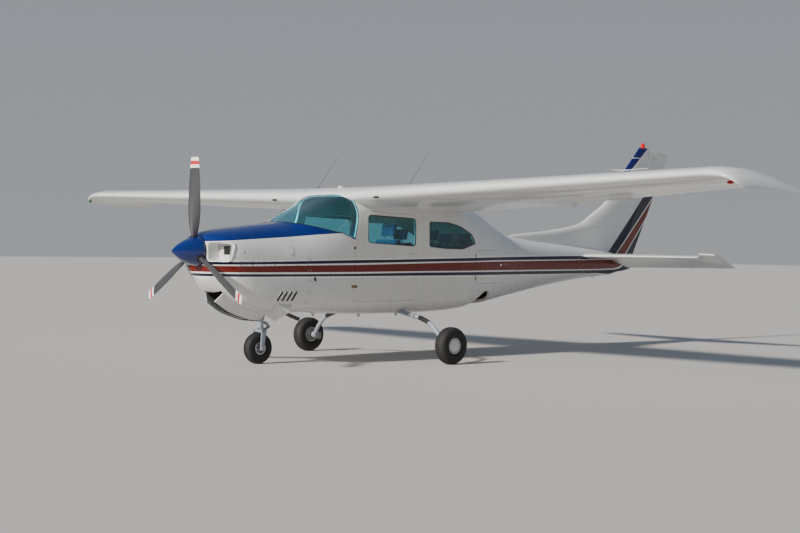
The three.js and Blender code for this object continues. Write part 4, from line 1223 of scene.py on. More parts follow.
def skin_of(form: Piece, name: str, region: Piece | None, holes: Sequence[Piece] = ()) -> Piece:
    """A part of a form's surface.

    Args:
        form: the closed form.
        name: the piece's name.
        region: the solid that the part lies in.
        holes: solids that open it.

    Returns:
        The open skin.
    """
    piece = copy_of(form, name)
    if region:
        cut(piece, slotted(region, 1), "INTERSECT")
    if holes:
        tool = join("tool", list(holes)) if len(holes) > 1 else holes[0]
        cut(piece, slotted(tool, 1))
    remove_slot(piece, 1)
    return piece


def remove_slot(piece: Piece, index: int) -> None:
    """Deletes the faces in one of a piece's material slots.

    Args:
        piece: the piece.
        index: the slot.
    """
    piece.active_material_index = index
    with editing(piece, "FACE"):
        bpy.ops.mesh.select_all(action="DESELECT")
        bpy.ops.object.material_slot_select()
        bpy.ops.mesh.delete(type="FACE")


HULL = Hull()


# Fuselage
@dataclass
class Fuselage:
    """Cabin skin, tail cone, glazing and wheel wells."""

    wall: float = 38
    tail_wall: float = 10
    seam: float = 1.2
    cabin_end: float = 4750
    door_gap: float = 1.6
    seal: float = 9
    glass: float = 5
    sunk: float = 3
    well_station: float = 4305
    well_y: float = 212
    well_radius: float = 240
    well_top: float = 842

    def build(self, form: Piece) -> None:
        """Makes every piece of the fuselage.

        Args:
            form: the hull's closed form.
        """
        self.cabin(form)
        self.tail(form)
        self.wells(form)
        pane_form = HULL.solid("pane_form", self.sunk, 765, 6055)
        screen = self.pane("windshield_pane", pane_form, WINDSHIELD, -FAR, FAR, -7)
        present(screen, [WINDOW], stands_for=["windshield"])
        present(self.surround("windshield_seal", form, WINDSHIELD, -FAR, FAR), [SEAL])
        outline = rounded(REAR_WINDOW, 34)
        rear = self.pane("rear_pane_left", pane_form, outline, 0, FAR, -5)
        seal = self.surround("rear_seal_left", form, outline, 0, FAR)
        present(copy_of(rear, "rear_pane_right", MIRROR), [WINDOW],
                stands_for=["rear_window_right"])
        present(copy_of(seal, "rear_seal_right", MIRROR), [SEAL])
        present(rear, [WINDOW], stands_for=["rear_window_left"])
        present(seal, [SEAL])
        self.doors(form, pane_form)
        bpy.data.objects.remove(pane_form)

    def well(self, name: str, grow: float = 0) -> Piece:
        """The two wheel wells as one solid.

        Args:
            name: the solid's name.
            grow: how much wider it is, in millimetres.

        Returns:
            The solid.
        """
        pair = [rod(name, at(self.well_station, y, 300), at(self.well_station, y, self.well_top),
                    self.well_radius + grow,
                    sides=96) for y in (self.well_y, -self.well_y)]
        return cut(pair[0], pair[1], "UNION")

    def cabin(self, form: Piece) -> None:
        """The skin from the cowl's joint to the tail cone, with its openings.

        Args:
            form: the hull's closed form.
        """
        front = [(s + self.seam, z) for s, z in COWL_JOINT]
        region = side_prism("region",
                            [*front, (self.cabin_end - self.seam, 2300),
                             (self.cabin_end - self.seam, 0)],
                            -FAR, FAR)
        door = rounded(offset(DOOR, self.door_gap), 90)
        hatch = rounded(offset(BAGGAGE_DOOR, self.door_gap), 50)
        holes = [
            side_prism("hole", WINDSHIELD, -FAR, FAR),
            side_prism("hole", rounded(REAR_WINDOW, 34), -FAR, FAR),
            side_prism("hole", door, -FAR, FAR),
            side_prism("hole", hatch, 0, FAR),
            self.well("hole"),
        ]
        skin = thicken(skin_of(form, "cabin_skin", region, holes), self.wall, inner=1)
        present(skin, [BODY_PAINT, LINER],
                stands_for=["fuselage_side_left", "fuselage_side_right", "cabin_roof",
                            "belly_panel",
                            "wheel_well_left", "wheel_well_right"])

    def tail(self, form: Piece) -> None:
        """The tail cone's skin, open where the elevator's torque tube passes.

        Args:
            form: the hull's closed form.
        """
        region = side_prism("region",
                            [(self.cabin_end + self.seam, 0), (self.cabin_end + self.seam, 2300),
                                       (8000, 2300), (8000, 0)], -FAR, FAR)
        tube_hole = rod("hole", at(7090, -400, 1240), at(7090, 400, 1240), 20, sides=48)
        skin = thicken(skin_of(form, "tail_skin", region, [tube_hole]), self.tail_wall, inner=1)
        tie_down = block("tie_down", (6890, 6950), (-6, 6), (930, 985), 3)
        eye = rod("eye", at(6920, -9, 948), at(6920, 9, 948), 9)
        cut(tie_down, eye)
        present(tie_down, [CHROME])
        # The tail cone's inner face is near black, painted shade.
        present(skin, [BODY_PAINT, PAINTED_SHADE], stands_for=["tail_cone"])

    def wells(self, form: Piece) -> None:
        """Painted shade: near-black walls and roof inside the wheel wells, and a near-black sheet
        between them.

        Args:
            form: the hull's closed form.
        """
        liner = slotted(self.well("well_liner", 1), 1)
        cut(liner, form, "INTERSECT", spent=False)
        remove_slot(liner, 0)
        present(thicken(liner, 1.5), [PAINTED_SHADE, PAINTED_SHADE])
        ends = (self.well_station - self.well_radius, self.well_station + self.well_radius)
        keel = cut(block("well_keel", ends, (-2, 2), (300, self.well_top), 0), form, "INTERSECT",
                   spent=False)
        present(keel, [PAINTED_SHADE])

    def pane(self, name: str, form: Piece, outline: Rows, y0: float, y1: float,
             inset: float) -> Piece:
        """A pane of glass just under the skin."""
        region = side_prism("region", offset(outline, inset), y0, y1)
        return thicken(skin_of(form, name, region), self.glass)

    def surround(self, name: str, form: Piece, outline: Rows, y0: float, y1: float) -> Piece:
        """The rubber seal round a pane.

        Args:
            name: the piece's name.
            form: the closed form that it is cut from.
            outline: the opening.
            y0: where the cut starts, across the aircraft.
            y1: where it ends.

        Returns:
            The new piece.
        """
        region = side_prism("region", offset(outline, -0.5), y0, y1)
        inside = side_prism("hole", offset(outline, -self.seal), y0 - 10, y1 + 10)
        return thicken(skin_of(form, name, region, [inside]), 8)

    def doors(self, form: Piece, pane_form: Piece) -> None:
        """Both cabin doors with their glass, and the baggage door.

        Args:
            form: the hull's closed form.
            pane_form: the form that panes are cut from.
        """
        window = rounded(DOOR_WINDOW, 55)
        outline = rounded(offset(DOOR, -self.door_gap), 88)
        leaf = skin_of(form, "door_skin_left", side_prism("region", outline, 0, FAR),
                       [side_prism("hole", window, -FAR, FAR)])
        thicken(leaf, 34, inner=1)
        glass = self.pane("door_pane_left", pane_form, window, 0, FAR, -5)
        seal = self.surround("door_seal_left", form, window, 0, FAR)
        for side, change in (("right", MIRROR), ("left", None)):
            body = f"cabin_door_{side}"
            pieces = [piece if change is None
                      else copy_of(piece, piece.name.replace("left", side), change)
                      for piece in (leaf, glass, seal)]
            present(pieces[0], [BODY_PAINT, LINER], body, [f"door_{side}"])
            present(pieces[1], [WINDOW], body, [f"door_glass_{side}"])
            present(pieces[2], [SEAL], body)
        outline = rounded(offset(BAGGAGE_DOOR, -self.door_gap), 48)
        hatch = thicken(skin_of(form, "baggage_skin", side_prism("region", outline, 0, FAR)), 30,
                        inner=1)
        present(hatch, [BODY_PAINT, LINER], "baggage_lid", ["baggage_door"])


@dataclass
class Cowling:
    """The two cowl halves, the cooling inlets, the nose bay and what lies behind them."""

    wall: float = 8
    seam: float = 0.8
    split: float = 1136
    lip: float = 16
    duct_end: float = 492
    bay_front: float = 530
    bay_back: float = 1330
    bay_half: float = 165

    def __post_init__(self) -> None:
        """Rounds the inlet's outline."""
        self.inlet = rounded([[175, 1150], [175, 1347], [440, 1335], [440, 1163]], 60)

    def build(self, form: Piece) -> None:
        """Makes every piece of the cowling.

        Args:
            form: the hull's closed form.
        """
        back = [(s - self.seam, z) for s, z in COWL_JOINT]
        upper = [(300, self.split + self.seam), (300, 2300), (back[2][0], 2300), back[2], back[1],
                 (back[0][0], self.split + self.seam)]
        lower = [(300, 0), (300, self.split - self.seam), (back[0][0], self.split - self.seam),
                 (back[0][0], 0)]
        for name, outline, node in (("cowl_top_skin", upper, "cowl_upper"),
                                    ("cowl_bottom_skin", lower, "cowl_lower")):
            holes = [self.inlet_solid(side, self.lip, 300, 480) for side in (1, -1)]
            holes.append(rod("hole", at(300, 0, HUB_HEIGHT), at(440, 0, HUB_HEIGHT), 90, sides=64))
            if node == "cowl_lower":
                holes.append(block("hole", (self.bay_front, self.bay_back),
                                   (-self.bay_half, self.bay_half),
                                   (300, 900), 0))
                holes += self.flap_holes()
            skin = skin_of(form, name, side_prism("region", outline, -FAR, FAR), holes)
            # The cowl's inner face is near black, painted shade.
            present(thicken(skin, self.wall, inner=1), [BODY_PAINT, PAINTED_SHADE],
                    stands_for=[node])
        for side, word in SIDES:
            self.inlet_pieces(side, word)
        self.bay_liner(form)

    def inlet_solid(self, side: int, grow: float, first: float, last: float) -> Piece:
        """A prism through one inlet, from one station to another."""
        outline = [at(first, side * y, z) for y, z in offset(self.inlet, grow)]
        return prism("hole", outline, Vector(((first - last) * MM, 0, 0)))

    def front(self, y: float, z: float) -> float:
        """The station where the nose's surface passes through a side distance and height.

        Args:
            y: the side distance.
            z: the height.

        Returns:
            The station.
        """
        low, high = 345.0, 700.0
        for _ in range(30):
            middle = (low + high) / 2
            _, bottom, top, half, widest, upper, lower = steady(SECTIONS, np.array([middle]))[0]
            reach, power = (top - widest, upper) if z > widest else (widest - bottom, lower)
            inside = (abs(y) / half) ** power + (abs(z - widest) / reach) ** power < 1
            low, high = (low, middle) if inside else (middle, high)
        return high

    def inlet_pieces(self, side: int, word: str) -> None:
        """One inlet's rounded lip, duct and baffle, with a black block on the baffle as painted
        shade of the opening behind it.

        Args:
            side: 1 for port, -1 for starboard.
            word: the side's name.
        """
        ring = offset(self.inlet, self.lip)
        path = [at(self.front(y, z) + self.lip - 1, side * y, z) for y, z in ring]
        lip = loop(f"inlet_lip_{word}", path, self.lip + 1)
        present(lip, [BODY_PAINT])
        duct = []
        for share, shrink in ((0.0, 0.5), (0.5, -3), (1.0, -8)):
            outline = offset(self.inlet, shrink)
            starts = [max(self.front(y, z) + self.lip, 352) for y, z in self.inlet]
            duct.append([list(at(s + (self.duct_end - s) * share, side * y, z)) for s,
                         (y, z) in zip(starts, outline)])
        wall = loft(f"inlet_duct_{word}", np.array(duct), ends=False)
        with editing(wall):
            bpy.ops.mesh.normals_make_consistent(inside=True)
        present(wall, [PLAIN_PAINT])
        y_mid = side * 312
        back = block(f"inlet_back_{word}", (self.duct_end - 2, self.duct_end + 6),
                     (y_mid - 142, y_mid + 142),
                     (1146, 1350), 1)
        present(back, [PLAIN_PAINT])
        # A black block on the baffle, painted shade of the opening behind it.
        hole = block(f"inlet_core_{word}", (self.duct_end - 6, self.duct_end - 1),
                     sorted((side * 276, side * 416)), (1222, 1316), 2)
        present(hole, [BLACK])

    def flap_holes(self) -> list[Piece]:
        """The openings above the cowl flaps."""
        inner = at(1045, 195, HULL.lower_skin(1045, 195))
        outer = at(1045, 470, HULL.lower_skin(1045, 470))
        along = (outer - inner).normalized()
        down = Vector((-1, 0, 0)).cross(along)
        down = down if down.z < 0 else -down
        length = (outer - inner).length
        gap, chord = 7 * MM, 207 * MM
        corners = [inner - along * gap, inner + along * (length + gap)]
        top = [corner - down * 0.08 for corner in corners]
        back = [corner + Vector((-chord, 0, 0)) for corner in reversed(top)]
        hole = prism("hole", [*top, *back], down * 0.14)
        return [hole, copy_of(hole, "hole", MIRROR)]

    def bay_liner(self, form: Piece) -> None:
        """Painted shade: near-black walls inside the nose wheel's bay.

        Args:
            form: the hull's closed form.
        """
        liner = slotted(block("bay_liner", (self.bay_front + 1, self.bay_back - 1),
                              (-self.bay_half + 1, self.bay_half - 1), (300, 930), 0), 1)
        cut(liner, form, "INTERSECT", spent=False)
        remove_slot(liner, 0)
        walls = thicken(liner, 1.5)
        for side in (1, -1):
            cut(walls, block("hole", (1140, 1270), sorted((side * 130, side * 180)), (600, 780), 0))
        present(walls, [PAINTED_SHADE, PAINTED_SHADE])


def loop(name: str, path: Sequence[Vector], radius: float, sides: int = 16) -> Piece:
    """A round bead along a closed path.

    Args:
        name: the piece's name.
        path: the places its middle goes through.
        radius: in millimetres.
        sides: how many facets it has around.

    Returns:
        The new piece.
    """
    centre = sum(path, Vector()) / len(path)
    rings = []
    for k, place in enumerate(path):
        run = (path[(k + 1) % len(path)] - path[k - 1]).normalized()
        side = place - centre
        side = (side - run * side.dot(run)).normalized()
        up = run.cross(side)
        rings.append([list(place + (side * math.cos(turn) + up * math.sin(turn)) * (radius * MM))
                      for turn in full_turn(sides)])
    return loft(name, np.array([*rings, rings[0]]), ends=False)


# Lifting surfaces
# Rows: spanwise place, leading edge's station and height, chord, thickness share, tilt in degrees
WING_ROWS = [[420, 2073, 1897, 1812, 0.15, 4.2], [2600, 2118, 1955, 1505, 0.142, 4.6],
             [5250, 2172, 2024, 1160, 0.125, 2.8]]
TIP_ROWS = [[5250.3, 2172, 2024, 1160, 0.125, 2.8], [5410, 2176, 2012, 1150, 0.118, 3],
            [5520, 2196, 1975, 1118, 0.092, 3.2], [5580, 2240, 1928, 1050, 0.056, 3],
            [5600, 2300, 1896, 950, 0.02, 2.5]]
STABILISER_ROWS = [[0, 6500, 1240, 1042, 0.075, 0], [150, 6512, 1240, 1030, 0.075, 0],
                   [1750, 6940, 1240, 560, 0.085, 0], [1980, 6975, 1240, 520, 0.085, 0]]


def row_at(rows: Rows, y: float) -> np.ndarray:
    """A table's row at a spanwise place, on straight runs between its rows."""
    table = np.asarray(rows, float)
    return np.array([np.interp(y, table[:, 0], column) for column in table.T])


def thickness_at(share: float) -> float:
    """Half the section's thickness, as a share of the greatest, at a share of the chord."""
    return 5 * (0.2969 * math.sqrt(share) - 0.126 * share - 0.3516 * share ** 2
                + 0.2843 * share ** 3 - 0.1005 * share ** 4)


def on_section(row: Row, share: float, side: float, camber: float = 0.02) -> Vector:
    """A place on a lifting section.

    Args:
        row: spanwise place, leading edge's station and height, chord, thickness share and tilt.
        share: how far along the chord it lies.
        side: 1 for the upper surface, -1 for the lower one.
        camber: the mean line's rise as a share of the chord.

    Returns:
        The place in metres.
    """
    y, station, height, chord, thickness, tilt = row
    lift = chord * (4 * camber * share * (1 - share) + side * thickness * thickness_at(share))
    slope = math.radians(tilt)
    along = chord * share
    return at(station + along * math.cos(slope) - lift * math.sin(slope), y,
              height - along * math.sin(slope) + lift * math.cos(slope))


def arc(centre: Vector, up: Vector, back: Vector, radius: float, turns: Row) -> list[Vector]:
    """Places round a centre at angles from its upward direction, forwards and down."""
    return [centre + up * (radius * math.cos(turn)) - back * (radius * math.sin(turn))
            for turn in turns]


class Cove(Enum):
    """What the rear of a wing section is like."""

    WHOLE = "whole"
    FLAP = "flap"
    AILERON = "aileron"


@dataclass
class Wing:
    """One wing with its tip, aileron and flap."""

    flap_ends: tuple[float, float] = (640, 2574)
    aileron_ends: tuple[float, float] = (2612, 5235)
    flap_share: float = 0.72
    aileron_share: float = 0.77
    gap: float = 6
    steps: int = 26

    def nose(self, row: Row, share: float, camber: float) -> tuple[Vector, float, Vector, Vector]:
        """The centre and radius of a control surface's nose, and its directions.

        Args:
            row: the section's row.
            share: the nose's place along the chord.
            camber: the mean line's rise.

        Returns:
            Centre, radius, backward and upward directions.
        """
        top, bottom = on_section(row, share, 1, camber), on_section(row, share, -1, camber)
        centre = (top + bottom) / 2
        back = (on_section(row, 1, 0, camber) - centre).normalized()
        up = Vector((0, 1, 0)).cross(back)
        up = up if up.z > 0 else -up
        return centre, (top - bottom).length / 2, back, up

    def ring(self, y: float, cove: Cove, rows: Rows = WING_ROWS,
             camber: float = 0.02) -> list[list[float]]:
        """One closed ring of the wing panel.

        Args:
            y: its spanwise place.
            cove: what its rear is like.
            rows: the wing's table.
            camber: the mean line's rise.

        Returns:
            The ring's places.
        """
        row = row_at(rows, y)
        front = [self.flap_share * 0.985 * (1 - math.cos(math.pi / 2 * k / self.steps))
                 for k in range(self.steps + 1)]
        share = self.flap_share
        centre, radius, back, up = self.nose(row, self.aileron_share, camber)
        reach = radius + self.gap * MM
        edge = self.aileron_share - math.sqrt(reach ** 2 - radius ** 2) / (row[3] * MM)
        marks = [share, edge, 0.83, 0.89, 0.95, 1.0]
        rear_top = [on_section(row, mark, 1, camber) for mark in marks]
        rear_low = [on_section(row, mark, -1, camber) for mark in reversed(marks)]
        if cove is Cove.FLAP:
            high, low = rear_top[0], rear_low[-1]
            rear = [high.lerp(low, k / 11) for k in range(12)]
        elif cove is Cove.AILERON:
            start = math.acos(radius / reach)
            hollow = arc(centre, up, back, reach, np.linspace(start, math.pi - start, 10))
            rear = [rear_top[0], *hollow, rear_low[-1]]
        else:
            rear = [*rear_top, *rear_low]
        upper = [on_section(row, mark, 1, camber) for mark in reversed(front)]
        lower = [on_section(row, mark, -1, camber) for mark in front[1:]]
        return [list(place) for place in [*rear, *reversed(lower), *reversed(upper)]]

    def panel(self) -> Piece:
        """The port wing panel."""
        (f0, f1), (a0, a1) = self.flap_ends, self.aileron_ends
        g = self.gap
        spans = [(420, Cove.WHOLE), (f0 - g, Cove.WHOLE), (f0 - g, Cove.FLAP)]
        spans += [(y, Cove.FLAP) for y in np.linspace(f0, f1, 8)[1:-1]]
        spans += [(f1 + g, Cove.FLAP), (f1 + g, Cove.WHOLE), (a0 - g, Cove.WHOLE),
                  (a0 - g, Cove.AILERON)]
        spans += [(y, Cove.AILERON) for y in np.linspace(a0, a1, 9)[1:-1]]
        spans += [(a1 + g, Cove.AILERON), (a1 + g, Cove.WHOLE), (5249.5, Cove.WHOLE)]
        return loft("wing_panel_left", np.array([self.ring(y, cove) for y, cove in spans]))

    def whole_ring(self, row: Row, camber: float = 0.02, first: float = 0.0,
                   count: int = 30) -> list[list[float]]:
        """A closed ring of a whole section, or of its part behind a share of the chord.

        Args:
            row: the section's row.
            camber: the mean line's rise.
            first: the share of the chord where it starts.
            count: steps on each side.

        Returns:
            The ring's places in metres.
        """
        curve = [1 - math.cos(math.pi / 2 * k / count) for k in range(count + 1)]
        marks = curve if first == 0 else [first + (1 - first) * k / count for k in range(count + 1)]
        upper = [on_section(row, mark, 1, camber) for mark in reversed(marks)]
        lower = [on_section(row, mark, -1, camber) for mark in (marks[1:] if first == 0 else marks)]
        return [list(place) for place in [*upper, *lower]]

    def control_ring(self, row: Row, share: float, camber: float = 0.02) -> list[list[float]]:
        """A closed ring of a control surface with a round nose.

        Args:
            row: the section's row.
            share: the nose's place along the chord.
            camber: the mean line's rise.

        Returns:
            The ring's places in metres.
        """
        centre, radius, back, up = self.nose(row, share, camber)
        nose = arc(centre, up, back, radius, np.linspace(0, math.pi, 13))
        marks = np.linspace(share, 1, 10)[1:]
        low = [on_section(row, mark, -1, camber) for mark in marks]
        high = [on_section(row, mark, 1, camber) for mark in reversed(marks)]
        return [list(place) for place in [*nose, *low, *high]]

    def build(self, form: Piece) -> None:
        """Makes both wings.

        Args:
            form: the hull's closed form, which the roots are cut by.
        """
        panel = cut(self.panel(), form, spent=False)
        tip_rows = steady(TIP_ROWS,
                          np.concatenate([np.linspace(5250.8, 5520, 8),
                                          np.linspace(5532, 5600, 14)]))
        tip = loft("tip_left", np.array([self.whole_ring(row) for row in tip_rows]))
        aileron = loft("aileron_skin_left", np.array([
            self.control_ring(row_at(WING_ROWS, y), self.aileron_share)
            for y in np.linspace(*self.aileron_ends, 12)]))
        flap = loft("flap_skin_left", np.array([
            self.whole_ring(row_at(WING_ROWS, y), first=self.flap_share + 0.0045, count=12)
            for y in np.linspace(self.flap_ends[0], self.flap_ends[1] - 11, 10)]))
        soften(flap, 3, angle=60)
        table = [(panel, "wing", ("airframe", "airframe")),
                 (tip, "wingtip", ("airframe", "airframe")),
                 (aileron, "aileron", ("aileron_port", "aileron_starboard")),
                 (flap, "flap", ("flap_port", "flap_starboard"))]
        for piece, node, bodies in table:
            twin = copy_of(piece, piece.name.replace("left", "right"), MIRROR)
            for one, side, body in ((piece, "left", bodies[0]), (twin, "right", bodies[1])):
                present(one, [WING_PAINT], body, [f"{node}_{side}"])
        self.fairing(form)

    def fairing(self, form: Piece) -> None:
        """The wing's skin where it carries on over the roof.

        Args:
            form: the hull's closed form.
        """
        rows = [[y, *WING_ROWS[0][1:]] for y in (-419, -210, 0, 210, 419)]
        skin = loft("wing_fairing", np.array([self.whole_ring(row) for row in rows]))
        present(cut(skin, form, spent=False), [PLAIN_PAINT])


@dataclass
class Tail:
    """Stabiliser, elevator, fin, rudder and beacon."""

    hinge: float = 7090
    height: float = 1240
    droop: float = 20
    gap: float = 6
    end: float = 1748
    span: float = 1980
    elevator_in: float = 150
    horn_in: float = 1762

    def build(self, form: Piece) -> None:
        """Makes every piece of the tail.

        Args:
            form: the hull's closed form, which the fin's root is cut by.
        """
        self.stabiliser()
        self.elevator()
        self.fin(form)
        self.rudder()

    def share(self, row: Row) -> float:
        """The share of the chord that the elevator's hinge lies at."""
        return (self.hinge - row[1]) / row[3]

    def stabiliser(self) -> None:
        """The fixed tailplane, with a cove for the elevator's nose."""
        wing = Wing()
        rings = []
        for y in [-self.end, -950, -150, 0, 150, 950, self.end]:
            row = row_at(STABILISER_ROWS, abs(y))
            row[0] = y
            share = self.share(row)
            centre, radius, back, up = wing.nose(row, share, 0)
            reach = radius + self.gap * MM
            edge = share - math.sqrt(reach ** 2 - radius ** 2) / (row[3] * MM)
            marks = [edge * (1 - math.cos(math.pi / 2 * k / 24)) for k in range(25)]
            start = math.acos(radius / reach)
            hollow = arc(centre, up, back, reach, np.linspace(start, math.pi - start, 12))
            upper = [on_section(row, mark, 1, 0) for mark in marks[:-1]]
            lower = [on_section(row, mark, -1, 0) for mark in reversed(marks[1:-1])]
            rings.append([list(place) for place in [*upper, *hollow, *lower]])
        present(loft("tailplane", np.array(rings)), [WING_PAINT],
                stands_for=["stabiliser"])

    def drooped(self, ring: list[list[float]]) -> list[list[float]]:
        """A ring turned about the elevator's hinge to its resting angle.

        Args:
            ring: the ring's places.

        Returns:
            The ring's places in metres.
        """
        pivot = at(self.hinge, 0, self.height)
        turn = Matrix.Rotation(-math.radians(self.droop), 3, "Y")
        return [list(pivot + turn @ (Vector(place) - pivot)) for place in ring]

    def elevator(self) -> None:
        """The elevator's two halves, their horns and the torque tube."""
        wing = Wing()
        pieces = []
        rings = []
        for y in np.linspace(self.elevator_in, self.span - 4, 14):
            row = row_at(STABILISER_ROWS, y)
            rings.append(self.drooped(wing.control_ring(row, self.share(row), 0)))
        half = loft("half", np.array(rings))
        horn_rings = []
        for y in (self.horn_in, 1850, 1930, 1965, self.span):
            row = row_at(STABILISER_ROWS, y)
            row[1] = min(row[1], 6960) + max(0, y - 1930) * 0.5
            horn_rings.append(self.drooped(wing.whole_ring(row, 0)))
        horn = loft("horn", np.array(horn_rings))
        pieces += [half, horn, copy_of(half, "half", MIRROR), copy_of(horn, "horn", MIRROR)]
        pieces.append(rod("tube", at(self.hinge, -200, self.height),
                          at(self.hinge, 200, self.height), 18))
        present(join("elevator_skin", pieces), [WING_PAINT], "elevator_surface",
                ["elevator"])

    def hinge_station(self, z: float) -> float:
        """The station of the rudder's sloping hinge at a height."""
        return 7436 + (z - 1275) * (8190 - 7436) / (2520 - 1275)

    def fin(self, form: Piece) -> None:
        """The fin with its long dorsal fillet, cut away for the rudder's nose and horn.

        Args:
            form: the hull's closed form.
        """
        rows = steady([[1250, 5190, 44, 42], [1492, 5196, 44, 40], [1570, 5932, 46, 39],
                       [1678, 6605, 50, 38],
                       [1808, 6856, 50, 37], [1983, 7154, 48, 35], [2406, 7541, 40, 29],
                       [2650, 7776, 34, 25],
                       [2797, 7916, 26, 22]], np.linspace(1250, 2797, 60))
        rings = []
        for z, leading, half, hinge_half in rows:
            hinge = self.hinge_station(z)
            reach = 0.45 * (hinge - leading)
            side = [(leading + reach * (1 - math.cos(turn)), half * math.sin(turn))
                    for turn in np.linspace(0, math.pi / 2, 13)]
            rest = np.linspace(0, 1, 8)[1:]
            side += [(side[-1][0] + (hinge - side[-1][0]) * t, half + (hinge_half - half) * t)
                     for t in rest]
            outline = [*side, *[(s, -y) for s, y in reversed(side[1:])]]
            rings.append([list(at(s, y, z)) for s, y in outline])
        skin = loft("fin_skin", np.array(rings))
        cutter = loft("cutter",
                      np.array([self.rudder_ring(z, te, half, 8) for z, te,
                                half in self.rudder_rows(1200, 2900)]))
        cut(skin, cutter)
        notch = side_prism("notch", [[8116, 2650], [8054, 2830], [8700, 2830], [8700, 2650]], -100,
                           100)
        cut(skin, notch)
        cut(skin, form, spent=False)
        present(skin, [FIN_PAINT], stands_for=["fin"])

    def rudder_rows(self, low: float, high: float) -> np.ndarray:
        """Rows of height, trailing edge's station and half thickness between two heights.

        Args:
            low: the lowest height.
            high: the highest height.

        Returns:
            The rows.
        """
        table = np.array([[1275, 7801, 40], [2015, 8211, 33], [2489, 8450, 27], [2650, 8560, 25],
                          [2700, 8585, 24]])
        heights = np.linspace(low, high, 24)
        return np.column_stack([heights, np.interp(heights, table[:, 0], table[:, 1]),
                                np.interp(heights, table[:, 0], table[:, 2])])

    def rudder_ring(self, z: float, trailing: float, half: float, grow: float) -> list[list[float]]:
        """A ring of the rudder, or of the cutter that clears it.

        Args:
            z: the ring's height.
            trailing: the trailing edge's station.
            half: half the thickness.
            grow: how far the cutter stands off.

        Returns:
            The ring's places in metres.
        """
        hinge = self.hinge_station(z)
        nose = [at(hinge - (half + grow) * math.sin(turn), (half + grow) * math.cos(turn), z)
                for turn in np.linspace(0, math.pi, 17)]
        edge = half + grow if grow else 3
        end = trailing + 300 if grow else trailing
        sides = [(hinge + (end - hinge) * t, half + grow + (edge - half - grow) * t)
                 for t in np.linspace(0, 1, 7)[1:]]
        return [list(p)
                for p in [*nose, *[at(s, -y, z) for s, y in sides],
                          *[at(s, y, z) for s, y in reversed(sides)]]]

    def rudder(self) -> None:
        """The rudder with its balance horn."""
        surface = loft("rudder_skin",
                       np.array([self.rudder_ring(*row, 0)
                                 for row in self.rudder_rows(1275, 2700)]))
        horn = side_prism("horn",
                          rounded([[8126, 2664], [8080, 2796], [8180, 2792], [8330, 2768],
                                   [8470, 2732],
                                           [8584, 2696], [8540, 2664]], 14), -22, 22)
        soften(horn, 6, 3)
        present(join("rudder_skin", [surface, horn]), [FIN_PAINT], "rudder_surface",
                ["rudder"])


# Landing gear
def tyre_profile(radius: float, width: float, bead: float) -> list[tuple[float, float]]:
    """The closed profile of a tyre, with three grooves round its tread.

    Args:
        radius: the tyre's radius.
        width: its breadth.
        bead: the rim's radius.

    Returns:
        Radius and distance pairs in millimetres.
    """
    depth = radius - bead
    shares = [(bead, 0.72), (bead + 0.1 * depth, 0.76), (bead + 0.25 * depth, 0.93),
              (bead + 0.5 * depth, 1.0),
              (bead + 0.75 * depth, 0.93), (bead + 0.92 * depth, 0.66), (radius - 1.2, 0.4)]
    table = np.array(shares)
    marks = np.linspace(0, len(shares) - 1, 25)
    knots = np.arange(len(shares))
    radii = np.column_stack([knots, table])
    side = [(r, share * width / 2) for _, r, share in steady(radii, marks)]
    tread = []
    for centre in (0.27, 0.0, -0.27):
        middle, half = centre * width / 2, 3.0
        tread += [(radius, middle + half + 1), (radius - 4, middle + half - 0.5),
                  (radius - 4, middle - half + 0.5), (radius, middle - half - 1)]
    return [*side, *tread, *[(r, -y) for r, y in reversed(side)], (bead, -0.4 * width),
            (bead, 0.4 * width)]


@dataclass
class Wheel:
    """A tyre on its rim."""

    name: str
    body: str
    centre: Vector
    radius: float
    width: float
    bead: float
    side: int = 1
    bore: float = 12.6

    def tyre(self) -> None:
        """The tyre with its sidewall bead."""
        tyre = lathe(f"{self.name}_tyre_carcass", tyre_profile(self.radius, self.width, self.bead),
                     self.centre,
                     (0, self.side, 0), 112)
        node = self.body.replace("wheel", "tyre")
        present(tyre, [RUBBER], self.body, [node], angle=28)

    def hub_profile(self) -> list[tuple[float, float]]:
        """The rim's closed profile."""
        seat, dish = 0.37 * self.width, 0.24 * self.width
        flange = self.bead + 0.08 * (self.radius - self.bead)
        lip, inner = seat + 5, 0.84 * self.bead
        half = [(self.bore, dish + 12), (self.bore + 14, dish + 12), (self.bore + 16, dish),
                (0.66 * self.bead, dish - 6),
                (0.8 * self.bead, dish), (inner, lip - 5), (inner + 3, lip), (flange - 1.5, lip),
                (flange, lip - 1.5),
                (flange, seat + 0.3), (self.bead - 0.5, seat)]
        return [*half, *[(r, -y) for r, y in reversed(half)]]


